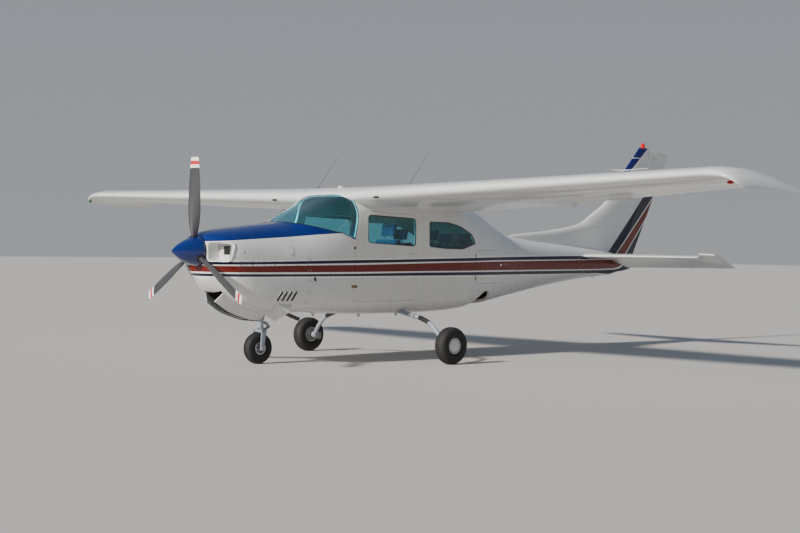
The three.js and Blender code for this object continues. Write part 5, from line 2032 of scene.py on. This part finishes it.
@dataclass
class NoseGear:
    """Nose leg, fork and wheel."""

    station: float = 1160
    height: float = 176
    trunnion: float = 1247
    brace: float = 1439
    pivot: float = 870

    def strut(self, z: float, y: float = 0) -> Vector:
        """A place on the raked strut's axis."""
        return at(self.station + (z - self.height) * 38 / 302, y, z)

    def build(self) -> None:
        """Makes every piece of the nose gear."""
        self.leg()
        self.fork()
        wheel = Wheel("nose", "nose_wheel", at(self.station, 0, self.height), 176, 126, 64)
        wheel.tyre()
        hub = lathe("nose_rim_casting", wheel.hub_profile(), wheel.centre, (0, 1, 0), 72)
        for k in range(5):
            turn = 2 * math.pi * k / 5 + 0.3
            spot = wheel.centre + Vector((math.cos(turn), 0,
                                          math.sin(turn))) * (0.58 * wheel.bead * MM)
            cut(hub, rod("hole", spot - Vector((0, 0.06, 0)), spot + Vector((0, 0.06, 0)), 9))
        present(hub, [WHEEL_METAL], "nose_wheel", ["nose_rim"])

    def leg(self) -> None:
        """The fixed strut housing, its trunnion and drag brace."""
        pieces = [rod("leg", self.strut(402), self.strut(900), 34, 3, sides=40),
                  rod("collar", self.strut(400), self.strut(424), 40, 3, sides=40),
                  rod("band", self.strut(520), self.strut(548), 39, 2, sides=40),
                  rod("trunnion", at(self.trunnion, -195, self.pivot),
                      at(self.trunnion, 195, self.pivot), 22, 2)]
        pieces += [rod("arm", at(self.trunnion, y, self.pivot), at(self.brace, y, self.pivot), 20,
                       2) for y in (-180, 180)]
        leg = join("nose_strut", pieces)
        present(leg, [LEG_PAINT], stands_for=["nose_leg"])

    def fork(self) -> None:
        """The turning fork with its oleo piston and torque link."""
        piston = rod("oleo_piston", self.strut(366), self.strut(399), 23, sides=40)
        present(piston, [CHROME], "nose_steering")
        s = self.station
        crown = block("crown", (s - 14, s + 62), (-90, 90), (357, 382), 8)
        leg = rounded([[s - 10, 380], [s + 58, 380], [s + 34, 240], [s + 24, 150], [s - 20, 146],
                       [s - 24, 200]], 14)
        arms = [soften(side_prism("arm", leg, *span), 3) for span in ((75, 91), (-91, -75))]
        axle = rod("axle", at(s, -98, self.height), at(s, 98, self.height), 12, 2)
        nuts = [rod("nut", at(s, y, self.height), at(s, y + w, self.height), 19, 2, sides=6)
                for y, w in ((90, 10), (-100, 10))]
        links = [tube("link", [at(1200, y, 372), at(1262, y * 0.9, 388), at(1312, y * 0.6, 412)],
                      (9, 7)) for y in (24, -24)]
        links += [tube("link", [at(1312, y * 0.6, 412), at(1286, y * 0.9, 440), at(1250, y, 462)],
                       (7, 9)) for y in (24, -24)]
        links.append(rod("pin", at(1312, -22, 412), at(1312, 22, 412), 8, 1))
        links.append(rod("pin", at(1250, -30, 464), at(1250, 30, 464), 9, 1))
        links.append(rod("pin", at(1205, -30, 374), at(1205, 30, 374), 9, 1))
        present(join("fork_casting", [crown, *arms, axle, *nuts, *links]), [LEG_PAINT],
                "nose_steering", ["nose_fork"])


@dataclass
class MainGear:
    """One main leg with its wheel, brake and step, and its mirror image."""

    station: float = 2925
    height: float = 212.5
    wheel_y: float = 1293
    sweep: float = 20
    reach: float = 1160

    def place(self, side: int, y: float, z: float, aft: float = 0) -> Vector:
        """A place on one leg's axis, or behind it, at a distance from the centreline."""
        return at(self.station - self.sweep * (1 - y / self.reach) + aft, side * y, z)

    def build(self) -> None:
        """Makes both main legs and wheels."""
        for side, word in SIDES:
            self.leg(side, word)
            wheel = Wheel(f"main_{word}", f"main_wheel_{word}",
                          at(self.station, side * self.wheel_y, self.height),
                          212.5, 160, 82, side, 19.6)
            wheel.tyre()
            hub = lathe(f"main_{word}_rim_casting", wheel.hub_profile(), wheel.centre, (0, side, 0),
                        72)
            cap = lathe("cap", [(0, 66), (58, 64), (70, 59), (75, 52), (75, 44), (0, 44)],
                        wheel.centre, (0, side, 0), 48)
            disc = lathe("disc", [(20, -76), (74, -76), (74, -68), (32, -68), (32, -30), (20, -30)],
                         wheel.centre,
                         (0, side, 0), 56)
            present(hub, [WHEEL_METAL], wheel.body, [f"main_rim_{word}"])
            cap.name = f"hub_cap_{word}"
            disc.name = f"brake_disc_{word}"
            present(cap, [CAP_PAINT], wheel.body)
            present(disc, [STEEL], wheel.body)

    def leg(self, side: int, word: str) -> None:
        """One leg with its knuckle, axle, brake caliper and step.

        Args:
            side: 1 for port, -1 for starboard.
            word: the side's name.
        """
        rows = [(330, 592), (480, 562), (640, 535), (800, 502), (950, 445), (1070, 352),
                (1140, 262), (1158, 222)]
        path = [self.place(side, y, z) for y, z in rows]
        leg = tube("leg", path, (27, 24), sides=28)
        s, z = self.station, self.height
        knuckle = rod("knuckle", at(s, side * 1128, z), at(s, side * 1196, z), 38, 5, sides=36)
        axle = rod("axle", at(s, side * 1150, z), at(s, side * (self.wheel_y + 36), z), 19, 2)
        present(join(f"main_gear_leg_{word}", [leg, knuckle, axle]), [LEG_PAINT],
                stands_for=[f"main_leg_{word}"])
        span = sorted((side * 1172, side * 1196))
        wide = sorted((side * 1168, side * 1210))
        caliper = join(f"caliper_{word}",
                       [block("arm", (s + 22, s + 70), span, (z - 50, z + 20), 4),
                                           block("body", (s + 50, s + 108), wide, (z - 60, z + 30),
                                                 7)])
        present(caliper, [STEEL])
        pad = [self.place(side, y, h + 3) for y, h in ((770, 508), (860, 482), (930, 456))]
        present(tube(f"step_{word}", pad, 28, sides=28), [BLACK])
        hose = [self.place(side, y, h + 6, 26) for y, h in rows[1:-1]]
        present(tube(f"brake_hose_{word}", [*hose, at(s + 60, side * 1176, z + 24)], 4, sides=10),
                [BLACK])


@dataclass
class Propeller:
    """Spinner and three blades."""

    hub: float = 290
    height: float = HUB_HEIGHT
    radius: float = 163
    point: float = 315

    def build(self) -> None:
        """Makes the spinner, its backplate and the blades."""
        centre = at(self.hub, 0, self.height)
        profile = [(0.0, -49.5), (self.radius - 1, -49.5), (self.radius, -48)]
        curve = (self.radius ** 2 + self.point ** 2) / (2 * self.radius)
        for share in np.linspace(0, 1, 49) ** 0.8:
            run = self.point * share
            radius = 0.65 * (math.sqrt(curve ** 2 - run ** 2) - curve
                             + self.radius) + 0.35 * self.radius * (1 - share)
            profile.append((max(0.0, radius), self.hub - self.point + run))
        spinner = lathe("spinner_shell", profile, centre, (1, 0, 0), 96)
        present(spinner, [SPINNER_PAINT], "propeller", ["spinner"])
        rim = lathe("backplate",
                    [(40, -54), (self.radius + 0.5, -54), (self.radius + 2, -51),
                     (self.radius + 2, -38),
                                  (self.radius, -36), (40, -40)], centre, (1, 0, 0), 96)
        present(rim, [BLACK], "propeller")
        for k in range(3):
            self.blade(k, centre)

    def blade(self, index: int, centre: Vector) -> None:
        """One blade and the boot at its root.

        Args:
            index: 0, 1 or 2.
            centre: the hub's place.
        """
        table = [[120, 64, 56, 44.5], [170, 66, 54, 44], [230, 92, 40, 40], [340, 130, 26, 33],
                 [500, 150, 19, 27],
                 [700, 144, 14, 22], [900, 124, 10, 18], [985, 110, 8, 16], [1003, 104, 7, 16],
                 [1012, 94, 6, 16],
                 [1016, 76, 4, 16]]
        spans = np.concatenate([np.linspace(120, 985, 44), [994, 1003, 1008, 1012, 1014.5, 1016]])
        rings = []
        for radius, chord, thickness, pitch in steady(table, spans):
            angle = math.radians(pitch)
            ring = []
            for turn in full_turn(40):
                u = chord / 2 * math.cos(turn)
                v = thickness / 2 * math.sin(turn) * (1 + 0.35 * math.cos(turn))
                ring.append([(u * math.sin(angle) + v * math.cos(angle)) * MM,
                             (-u * math.cos(angle) + v * math.sin(angle)) * MM, radius * MM])
            rings.append(ring)
        turned = Matrix.Translation(centre) @ Matrix.Rotation(2 * math.pi * index / 3, 4, "X")
        blade = loft(f"blade_form_{index + 1}", np.array(rings))
        blade.data.transform(turned)
        present(blade, [BLADE_PAINT], "propeller", [f"blade_{index + 1}"], angle=50)
        collar = lathe(f"blade_boot_{index + 1}",
                       [(30, -20), (47, -20), (49, -6), (44, 0), (30, 0)],
                       Vector((0, 0, self.radius * MM)), (0, 0, 1), 40)
        collar.data.transform(turned)
        present(collar, [BLACK], "propeller")


# Cabin
@dataclass
class Cabin:
    """Padded seats on their frames, and the instruments."""

    front: float = 2360
    middle: float = 285
    half: float = 199
    pan: float = 910
    top: float = 1620
    swell: float = 6
    frames: int = 20
    seams: tuple = (-128, -85, -42, 0, 42, 85, 128)
    voxel: float = 9
    panel_face: float = 1880
    places: tuple = (("seat_front_left", 2360, 285, 205, 910, 1620),
                     ("seat_front_right", 2360, -285, 205, 910, 1620),
                     ("seat_middle_left", 3060, 275, 195, 910, 1570),
                     ("seat_middle_right", 3060, -275, 195, 910, 1570),
                     ("seat_rear_left", 3730, 171, 171, 950, 1530),
                     ("seat_rear_right", 3730, -171, 171, 950, 1530))

    def build(self) -> None:
        """Makes the seats and the instruments."""
        pads = [self.cushion(), self.back(), self.headrest()]
        frame_piece = self.seat_frame()
        for name, *place in self.places:
            change = self.moved(*place)
            node = "seat_rear" if "rear" in name else name
            for pad in pads:
                one = present(copy_of(pad, f"{name}_{pad.name}", change), [CLOTH],
                              stands_for=[node])
            present(copy_of(frame_piece, f"{name}_frame", change), [PANEL])
        for spent in [*pads, frame_piece]:
            bpy.data.objects.remove(spent)
        self.instruments()

    def moved(self, front: float, y: float, half: float, pan: float, top: float) -> Matrix:
        """How the first seat's pieces are moved and sized for another place.

        Args:
            front: the seat's front station.
            y: its middle.
            half: half its breadth.
            pan: its tray's height.
            top: its top's height.

        Returns:
            The change.
        """
        size = Matrix.Diagonal((1, half / 205, (top - pan) / (self.top - self.pan), 1))
        return Matrix.Translation(at(front, y, pan)) @ size @ Matrix.Translation(-at(self.front,
                                                                                     self.middle,
                                                                                     self.pan))

    def lean(self, z: float, depth: float = 0) -> float:
        """The station of the seat back's front face at a height, or of a place behind it."""
        return self.front + 354 + (z - self.pan - 105) * 130 / 605 + depth

    def stuffed(self, piece: Piece, face: Row, seams: Row, depth: float) -> Piece:
        """Swells a closed shape into a pad and presses sewn channels into one side of it.

        Args:
            piece: the slightly smaller shape.
            face: the way its sewn side faces.
            seams: the channels' distances from the seat's middle.
            depth: the channels' depth in millimetres.

        Returns:
            The pad.
        """
        modified(piece, "REMESH", mode="VOXEL", voxel_size=self.voxel * MM)
        rest = places_of(piece)
        cloth = piece.modifiers.new("cloth", "CLOTH")
        cloth.settings.use_pressure = True
        cloth.settings.uniform_pressure_force = 4
        cloth.settings.effector_weights.gravity = 0
        for step in range(1, self.frames + 1):
            bpy.context.scene.frame_set(step)
        bpy.ops.object.modifier_apply(modifier=cloth.name)
        bpy.context.scene.frame_set(1)
        moved = places_of(piece) - rest
        size = np.linalg.norm(moved, axis=1)[:, None]
        place_vertices(piece,
                       rest + moved * np.minimum(1, self.swell * MM / np.maximum(size, 1e-9)))
        modified(piece, "SUBSURF", levels=1, render_levels=1)
        places, normals = places_of(piece), places_of(piece, "normal")
        faced = np.clip((normals @ np.array(face) - 0.3) / 0.4, 0, 1)
        aside = places[:, 1] / MM - self.middle
        groove = sum(np.exp(-((aside - seam) / 5) ** 2) for seam in seams)
        place_vertices(piece, places - normals * (faced * groove * depth * MM)[:, None])
        return piece

    def cushion(self) -> Piece:
        """The seat cushion, higher along its sides."""
        f, p, (y0, y1) = self.front, self.pan, (self.middle - self.half, self.middle + self.half)
        base = block("cushion", (f + 8, f + 405), (y0, y1), (p + 24, p + 106), 26)
        return self.stuffed(base, (0, 0, 1), self.seams, 5)

    def back(self) -> Piece:
        """The leaning back cushion."""
        low, high = self.pan + 112, 1425
        outline = [[self.lean(low, 6), low], [self.lean(high, 6), high],
                   [self.lean(high, 70), high],
                   [self.lean(low, 88), low]]
        pad = side_prism("back", outline, self.middle - self.half + 4, self.middle + self.half - 4)
        return self.stuffed(soften(pad, 24, 3), (1, 0, 0.2), self.seams, 5)

    def headrest(self) -> Piece:
        """The headrest on its two posts."""
        low, high = 1455, 1600
        outline = [[self.lean(low, 4), low], [self.lean(high, 4), high],
                   [self.lean(high, 66), high],
                   [self.lean(low, 66), low]]
        pad = side_prism("headrest", outline, self.middle - 118, self.middle + 118)
        return self.stuffed(soften(pad, 22, 3), (1, 0, 0), (-70, 70), 4)

    def seat_frame(self) -> Piece:
        """The tray, back shell, headrest posts, legs and rails of one seat."""
        f, p, y, half = self.front, self.pan, self.middle, self.half
        shell = rounded([[self.lean(p + 30, 84), p + 30], [self.lean(1420, 74), 1420],
                         [self.lean(1420, 84), 1420],
                         [self.lean(p + 8, 98), p + 8]], 4)
        pieces = [block("tray", (f + 14, f + 440), (y - half + 6, y + half - 6), (p + 4, p + 22),
                        5),
                  soften(side_prism("shell", shell, y - half + 12, y + half - 12), 3),
                  block("foot", (f + 66, f + 340), (y - half + 90, y + half - 90), (p - 238, p + 6),
                        14)]
        for side in (-60, 60):
            pieces.append(rod("post", at(self.lean(1400, 36), y + side, 1400),
                              at(self.lean(1470, 36), y + side, 1470), 6))
        for side in (-110, 110):
            pieces.append(block("rail", (f + 30, f + 400), (y + side - 9, y + side + 9),
                                (p - 238, p - 226), 3))
        return join("frame", pieces)

    def instruments(self) -> None:
        """Dials with bezels and pointers, and the radio stack, on the panel's face."""
        s = self.panel_face
        dials = [(y, z, 40) for z in (1382, 1196) for y in (372, 280, 188)] + [(y, 1289, 40)
                                                                               for y in (372, 188)]
        dials += [(-y, z, 28) for z in (1392, 1320) for y in (150, 225, 300, 375)]
        rims, pointers = [], []
        for k, (y, z, radius) in enumerate(dials):
            profile = [(0, -1), (radius, -1), (radius, 7), (radius - 4, 9), (radius - 7, 4), (0, 4)]
            rims.append(lathe("rim", profile, at(s, y, z), (-1, 0, 0), 32))
            turn = 1.3 * k
            tip = at(s + 5.5, y + 0.7 * radius * math.cos(turn), z + 0.7 * radius * math.sin(turn))
            pointers.append(rod("pointer", at(s + 5.5, y, z), tip, 2, sides=6, tip=0.6))
        for k in range(5):
            rims.append(block("radio", (s - 1, s + 9), (-78, 78), (1150 + 52 * k, 1196 + 52 * k),
                              3))
            pointers.append(block("window", (s + 8, s + 10), (-52, 20),
                                  (1166 + 52 * k, 1184 + 52 * k), 0))
            pointers += [rod("knob", at(s + 8, y, 1175 + 52 * k), at(s + 22, y, 1175 + 52 * k), 8,
                             1, 16) for y in (-66, 66)]
        present(join("panel_dials", rims), [BLACK])
        present(join("panel_pointers", pointers), [CAP_PAINT])


# Fittings
@dataclass
class Fittings:
    """Small pieces outside: handles, hinges, vents, antennas and lamps."""

    flap_break: float = 2593
    wick: float = 0.09

    def build(self) -> None:
        """Makes every fitting."""
        self.doors()
        self.cowl()
        self.antennas()
        self.wings()
        self.lamps()
        self.gear()

    def both(self, name: str, pieces: Sequence[Piece], look: "Finish | Glass", slot: str,
             bodies: Sequence[str] = ("airframe", "airframe")) -> None:
        """Shows a port piece and its mirror image.

        Args:
            name: the pieces' name before the side.
            pieces: what the port piece is joined of.
            look: its finish.
            slot: not used.
            bodies: the bodies that port and starboard move with.
        """
        port = join(f"{name}_left", pieces)
        other = copy_of(port, f"{name}_right", MIRROR)
        for piece, body in zip((port, other), bodies):
            present(piece, [look], body)

    def plate(self, name: str, station: float, z: float, radius: float, thick: float) -> Piece:
        """A round plate on the port skin, square to it.

        Args:
            name: the plate's name.
            station: its station.
            z: its height.
            radius: its radius.
            thick: how far it stands out.

        Returns:
            The new piece.
        """
        y = HULL.side(station, z)
        along = (HULL.side(station + 10, z) - HULL.side(station - 10, z)) / 20
        rise = (HULL.side(station, z + 10) - HULL.side(station, z - 10)) / 20
        profile = [(0, -4), (radius, -4), (radius, thick - 1), (radius - 1, thick), (0, thick)]
        return lathe(name, profile, at(station, y, z), (along, 1, -rise), 40)

    def doors(self) -> None:
        """Handles, their plates and the hinges' barrels."""
        leaves = ("cabin_door_left", "cabin_door_right")
        y = HULL.side(2944, 1243)
        self.both("handle_plate",
                  [side_prism("plate",
                              rounded([[2900, 1226], [2986, 1226], [2986, 1260], [2900, 1260]], 14),
                                              y - 3, y + 1.6)], CAP_PAINT, "wheel_metal", leaves)
        self.both("door_handle", [block("bar", (2908, 2978), (y + 1, y + 15), (1233, 1251), 5)],
                  CHROME, "wheel_metal", leaves)
        spots = [self.plate("spot", 2062, 1311, 19, 2.5), side_prism("spot", rounded(
            [[2018, 858], [2108, 858], [2108, 890], [2018, 890]], 14), HULL.side(2070, 874) - 6,
                                                                     HULL.side(2070, 874) + 2)]
        self.both("door_hinge", spots, PRIMER, "wheel_metal")
        barrels = [rod("barrel", at(4082, 531, z - 30), at(4082, 531, z + 30), 7, 1)
                   for z in (960, 1230)]
        present(join("baggage_hinge", barrels), [PRIMER])
        present(join("baggage_latch",
                     [self.plate("latch", 4630, 1120, 16, 3),
                      self.plate("latch", 4630, 980, 10, 3)]),
                [CHROME], "baggage_lid")

    def cowl(self) -> None:
        """Louvres with near-black tubes as painted shade in their slots, fasteners, the round
        plate, vent, exhaust and the gear doors' rubber edges.
        """
        slots, lips = [], []
        for top in (1083, 1143, 1203, 1263):
            ends = [(top, 823), (top - 41, 723)]
            run = [at(s, HULL.side(s, z), z) for s, z in ends]
            lips.append(tube("lip", [place + Vector((0.014, 0.001, 0)) for place in run], 6,
                             sides=14, flat=0.8))
            slots.append(tube("slot", [place - Vector((0.006, -0.001, 0)) for place in run], 15,
                              sides=14, flat=0.5))
        self.both("louvre_lips", lips, PLAIN_PAINT, "white_paint")
        # The tubes in the louvres' slots are near black, painted shade.
        self.both("louvre_slots", slots, PAINTED_SHADE, "engine_metal")
        studs = [self.plate("stud", s, z, 7, 1.2) for z in (1115, 1157)
                 for s in range(560, 1420, 140)]
        studs += [self.plate("stud", s, z, 7, 1.2) for s in (1412, 1448)
                  for z in range(700, 1300, 120)]
        self.both("cowl_studs", studs, STEEL, "wheel_metal")
        present(self.plate("oil_plate", 1179, 1280, 54, 1.6), [PLAIN_PAINT])
        present(join("small_plugs",
                     [self.plate("plug", 604, 1248, 9, 2), self.plate("plug", 1179, 1318, 5, 3),
                                     self.plate("plug", 4737, 1124, 12, 2)]), [STEEL])
        vent = lathe("vent", [(0, -30), (10, -22), (16, -4), (13, 14), (0, 28)],
                     at(1501, HULL.side(1501, 962), 962),
                     (0.4, 0, 1), 28)
        self.both("side_vent", [vent], BLACK, "panel_plastic")
        outer = tube("stub",
                     [at(1250, 300, 612), at(1336, 300, 566), at(1430, 300, 530),
                      at(1500, 300, 505)], 22)
        bore = rod("bore", at(1450, 300, 524), at(1540, 300, 492), 19)
        present(cut(outer, bore), [CASTING])
        outer.name = "exhaust_stub"
        free = [(516, 703), (600, 645), (680, 598), (765, 562), (863, 530), (965, 500), (1064, 487),
                (1130, 488)]
        self.both("gear_door_edge", [tube("edge", [at(s, 75, z - 1) for s, z in free], 5, 3, 10)],
                  SEAL, "tyre_rubber")

    def antennas(self) -> None:
        """Whips and pucks on the roof, blades below and rods on the fin."""
        for name, foot, tip in (("port", (2730, 760), (3047, 760, 2443)),
                                ("starboard", (2620, -760), (2930, -760, 2430))):
            z = surface(f"wing_panel_{'left' if name == 'port' else 'right'}", *foot)
            pieces = [rod("foot", at(*foot, z - 4), at(*foot, z + 22), 13, 3, tip=7),
                      rod("whip", at(*foot, z + 16), at(*tip), 2.6, sides=10, tip=1.2)]
            present(join(f"whip_{name}", pieces), [BLACK])
        for k, (skin, station) in enumerate((("wing_fairing", 2366), ("cabin_skin", 2771))):
            z = surface(skin, station, 0)
            puck = rounded([[station - 62, 0], [station - 30, 34], [station + 30, 34],
                            [station + 62, 0],
                            [station + 30, -34], [station - 30, -34]], 18)
            present(soften(plan_prism(f"roof_puck_{k + 1}", puck, z - 8, z + 17), 5), [CAP_PAINT])
        for k, station in enumerate((1900, 2600, 3200)):
            z = surface("cabin_skin", station, 0, 1)
            outline = rounded([[station, z + 6], [station + 60, z + 6], [station + 66, z - 44],
                               [station + 40, z - 46]], 8)
            present(soften(side_prism(f"belly_blade_{k + 1}", outline, -5, 5), 2), [CAP_PAINT])
        whiskers = [rod("foot", at(7560, -26, 2455), at(7560, 26, 2455), 8, 2)]
        whiskers += [rod("whisker", at(7560, side * 20, 2458), at(7714, side * 329, 2484), 7,
                         sides=12, tip=4)
                     for side in (1, -1)]
        present(join("fin_whiskers", whiskers), [CAP_PAINT])

    def wings(self) -> None:
        """Fuel caps, cabin air scoops, flap brackets and static wicks."""
        z = surface("wing_panel_left", 2560, 1500)
        cap = lathe("cap", [(0, -6), (44, -6), (44, 1), (41, 2.5), (34, 2.5), (32, 1), (0, 1)],
                    at(2560, 1500, z), (0.07, -0.05, 1))
        self.both("fuel_cap", [cap, block("tab", (2535, 2585), (1494, 1506), (z, z + 5), 1.5)],
                  STEEL, "wheel_metal")
        row = row_at(WING_ROWS, 930)
        nose = on_section(row, 0.0, 0)
        ends = [nose + Vector((0.004, y * MM, -0.03)) for y in (-34, 34)]
        # The scoop is a near-black rod, painted shade of its open mouth.
        self.both("air_scoop", [rod("scoop", *ends, 12, 4, 20)], PAINTED_SHADE, "panel_plastic")
        y = self.flap_break
        row = row_at(WING_ROWS, y)
        (s0, z0), (s1, z1) = [((NOSE_X - top.x) / MM, top.z / MM) for top in
                              (on_section(row, share, -0.3) for share in (0.9, 0.96))]
        outline = [[s0, z0], [s1, z1], [s1 - 4, 1790], [s1 - 22, 1780], [s0 + 20, 1784],
                   [s0 + 8, 1805]]
        self.both("flap_bracket",
                  [soften(side_prism("plate", rounded(outline, 14), y - 9, y + 9), 2)], CAP_PAINT,
                  "white_paint")
        tails = [on_section(row_at(WING_ROWS, y), 1, 0) for y in (3300, 4150, 5000)]
        back = Vector((-self.wick, 0, -0.006))
        self.both("aileron_wicks",
                  [rod("wick", place - back * 0.1, place + back, 2, sides=8, tip=1)
                   for place in tails],
                  BLACK, "panel_plastic", ("aileron_port", "aileron_starboard"))
        tail = Tail()
        tails = [Vector(tail.drooped([list(on_section(row_at(STABILISER_ROWS, y), 1, 0, 0))])[0])
                 for y in (1250, 1700)]
        wicks = [rod("wick", at(0, side * v.y / MM, v.z / MM) + Vector((v.x - NOSE_X, 0, 0)),
                     at(0, side * v.y / MM, v.z / MM) + Vector((v.x - NOSE_X, 0, 0)) + back, 2,
                     sides=8, tip=1)
                 for v in tails for side in (1, -1)]
        present(join("elevator_wicks", wicks), [BLACK], "elevator_surface")

    def lamps(self) -> None:
        """Red and green tip lamps and the beacon's base."""
        profile = [(0, -40), (9, -34), (14, -18), (16, 2), (13, 18), (7, 27), (0, 30)]
        for side, look, word in ((1, RED_LENS, "left"), (-1, GREEN_LENS, "right")):
            spot = on_section(row_at(TIP_ROWS, 5515), 0.0, 0) + Vector((-0.03, 0, -0.04))
            spot.y *= side
            present(lathe(f"tip_lamp_{word}", profile, spot, (1, 0.5 * -side, 0), 32), [look])
        base = lathe("beacon_base", [(0, -6), (30, -6), (30, 4), (26, 8), (0, 8)],
                     at(8000, 0, 2797), (0, 0, 1), 40)
        present(base, [ORANGE])

    def gear(self) -> None:
        """The black band on each leg."""
        leg = MainGear()
        for side, word in SIDES:
            ends = [leg.place(side, y, z) for y, z in ((694, 526), (708, 523))]
            present(rod(f"leg_band_{word}", *ends, 29, 2, 32), [BLACK])


# Studio
@dataclass
class Studio:
    """The floor, the lights and the camera."""

    eye: tuple[float, float, float] = (12.8535, 13.016, 1.315)
    yaw: float = 47.649
    pitch: float = -0.727
    roll: float = 0.711
    lens: float = 64.92
    floor_size: float = 240
    floor_colour: Colour = (0.5, 0.475, 0.44)
    sun_strength: float = 6.2
    sun_breadth: float = 4
    sun_colour: Colour = (1, 0.96, 0.9)
    sun_from: Colour = (2.3, -0.1, 1.2)
    sky_low: Colour = (0.86, 0.88, 0.9)
    sky_high: Colour = (0.45, 0.58, 0.8)
    sky_strength: float = 0.42

    def build(self) -> None:
        """Sets the whole studio."""
        self.camera()
        self.floor()
        self.lights()

    def camera(self) -> None:
        """The camera at the photograph's place."""
        data = bpy.data.cameras.new("camera")
        data.sensor_width = 36
        data.lens = self.lens
        data.clip_end = 300
        camera = bpy.data.objects.new("camera", data)
        bpy.context.scene.collection.objects.link(camera)
        yaw, pitch, roll = (math.radians(value) for value in (self.yaw, self.pitch, self.roll))
        look = Vector((-math.cos(yaw) * math.cos(pitch), -math.sin(yaw) * math.cos(pitch),
                       math.sin(pitch)))
        right = look.cross(Vector((0, 0, 1))).normalized()
        up = right.cross(look)
        side = right * math.cos(roll) + up * math.sin(roll)
        top = -right * math.sin(roll) + up * math.cos(roll)
        turn = Matrix((side, top, -look)).transposed()
        camera.matrix_world = Matrix.Translation(Vector(self.eye)) @ turn.to_4x4()
        bpy.context.scene.camera = camera

    def floor(self) -> None:
        """A plain pale floor."""
        floor = added("studio_floor", bpy.ops.mesh.primitive_plane_add, size=self.floor_size)
        material = bpy.data.materials.new("studio_floor")
        material.use_nodes = True
        shader = material.node_tree.nodes["Principled BSDF"]
        shader.inputs["Base Color"].default_value = (*self.floor_colour, 1)
        shader.inputs["Roughness"].default_value = 0.9
        floor.data.materials.append(material)

    def lights(self) -> None:
        """A sun from ahead and a broad sky."""
        sun = bpy.data.lights.new("key", "SUN")
        sun.energy = self.sun_strength
        sun.angle = math.radians(self.sun_breadth)
        sun.color = self.sun_colour
        key = bpy.data.objects.new("key", sun)
        key.rotation_mode = "QUATERNION"
        key.rotation_quaternion = Vector(self.sun_from).to_track_quat("Z", "Y")
        bpy.context.scene.collection.objects.link(key)
        world = bpy.data.worlds.new("sky")
        bpy.context.scene.world = world
        world.use_nodes = True
        build = Nodes(world.node_tree)
        ray = build.add("ShaderNodeTexCoord").outputs["Generated"]
        height = build.add("ShaderNodeSeparateXYZ", {0: ray}).outputs["Z"]
        ramp = build.spread(height, -0.05, 0.6)
        sky = build.mix(ramp, (*self.sky_low, 1), (*self.sky_high, 1))
        build.feed(world.node_tree.nodes["Background"],
                   {"Color": sky, "Strength": self.sky_strength})


def dress_nodes() -> None:
    """Gives every solid that stays in view its finish."""
    table = {
        "engine": CASTING, "firewall": FIREWALL, "cabin_floor": CARPET, "rear_bulkhead": BULKHEAD,
        "instrument_panel": PANEL, "nose_gear_door_left": PLAIN_PAINT,
        "nose_gear_door_right": PLAIN_PAINT,
        "cowl_flap_left": PLAIN_PAINT, "cowl_flap_right": PLAIN_PAINT, "beacon": RED_LAMP,
    }
    for name, look in table.items():
        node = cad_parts[name]
        for slot in node.material_slots:
            slot.material = look.material()


def main() -> None:
    """Builds the whole aircraft in its studio."""
    logging.basicConfig(level=logging.INFO, format="%(message)s")
    Studio().build()
    form = HULL.solid("form")
    Fuselage().build(form)
    Cowling().build(form)
    Wing().build(form)
    Tail().build(form)
    bpy.data.objects.remove(form)
    NoseGear().build()
    MainGear().build()
    Propeller().build()
    Cabin().build()
    Fittings().build()
    dress_nodes()


if __name__ == "__main__":
    main()
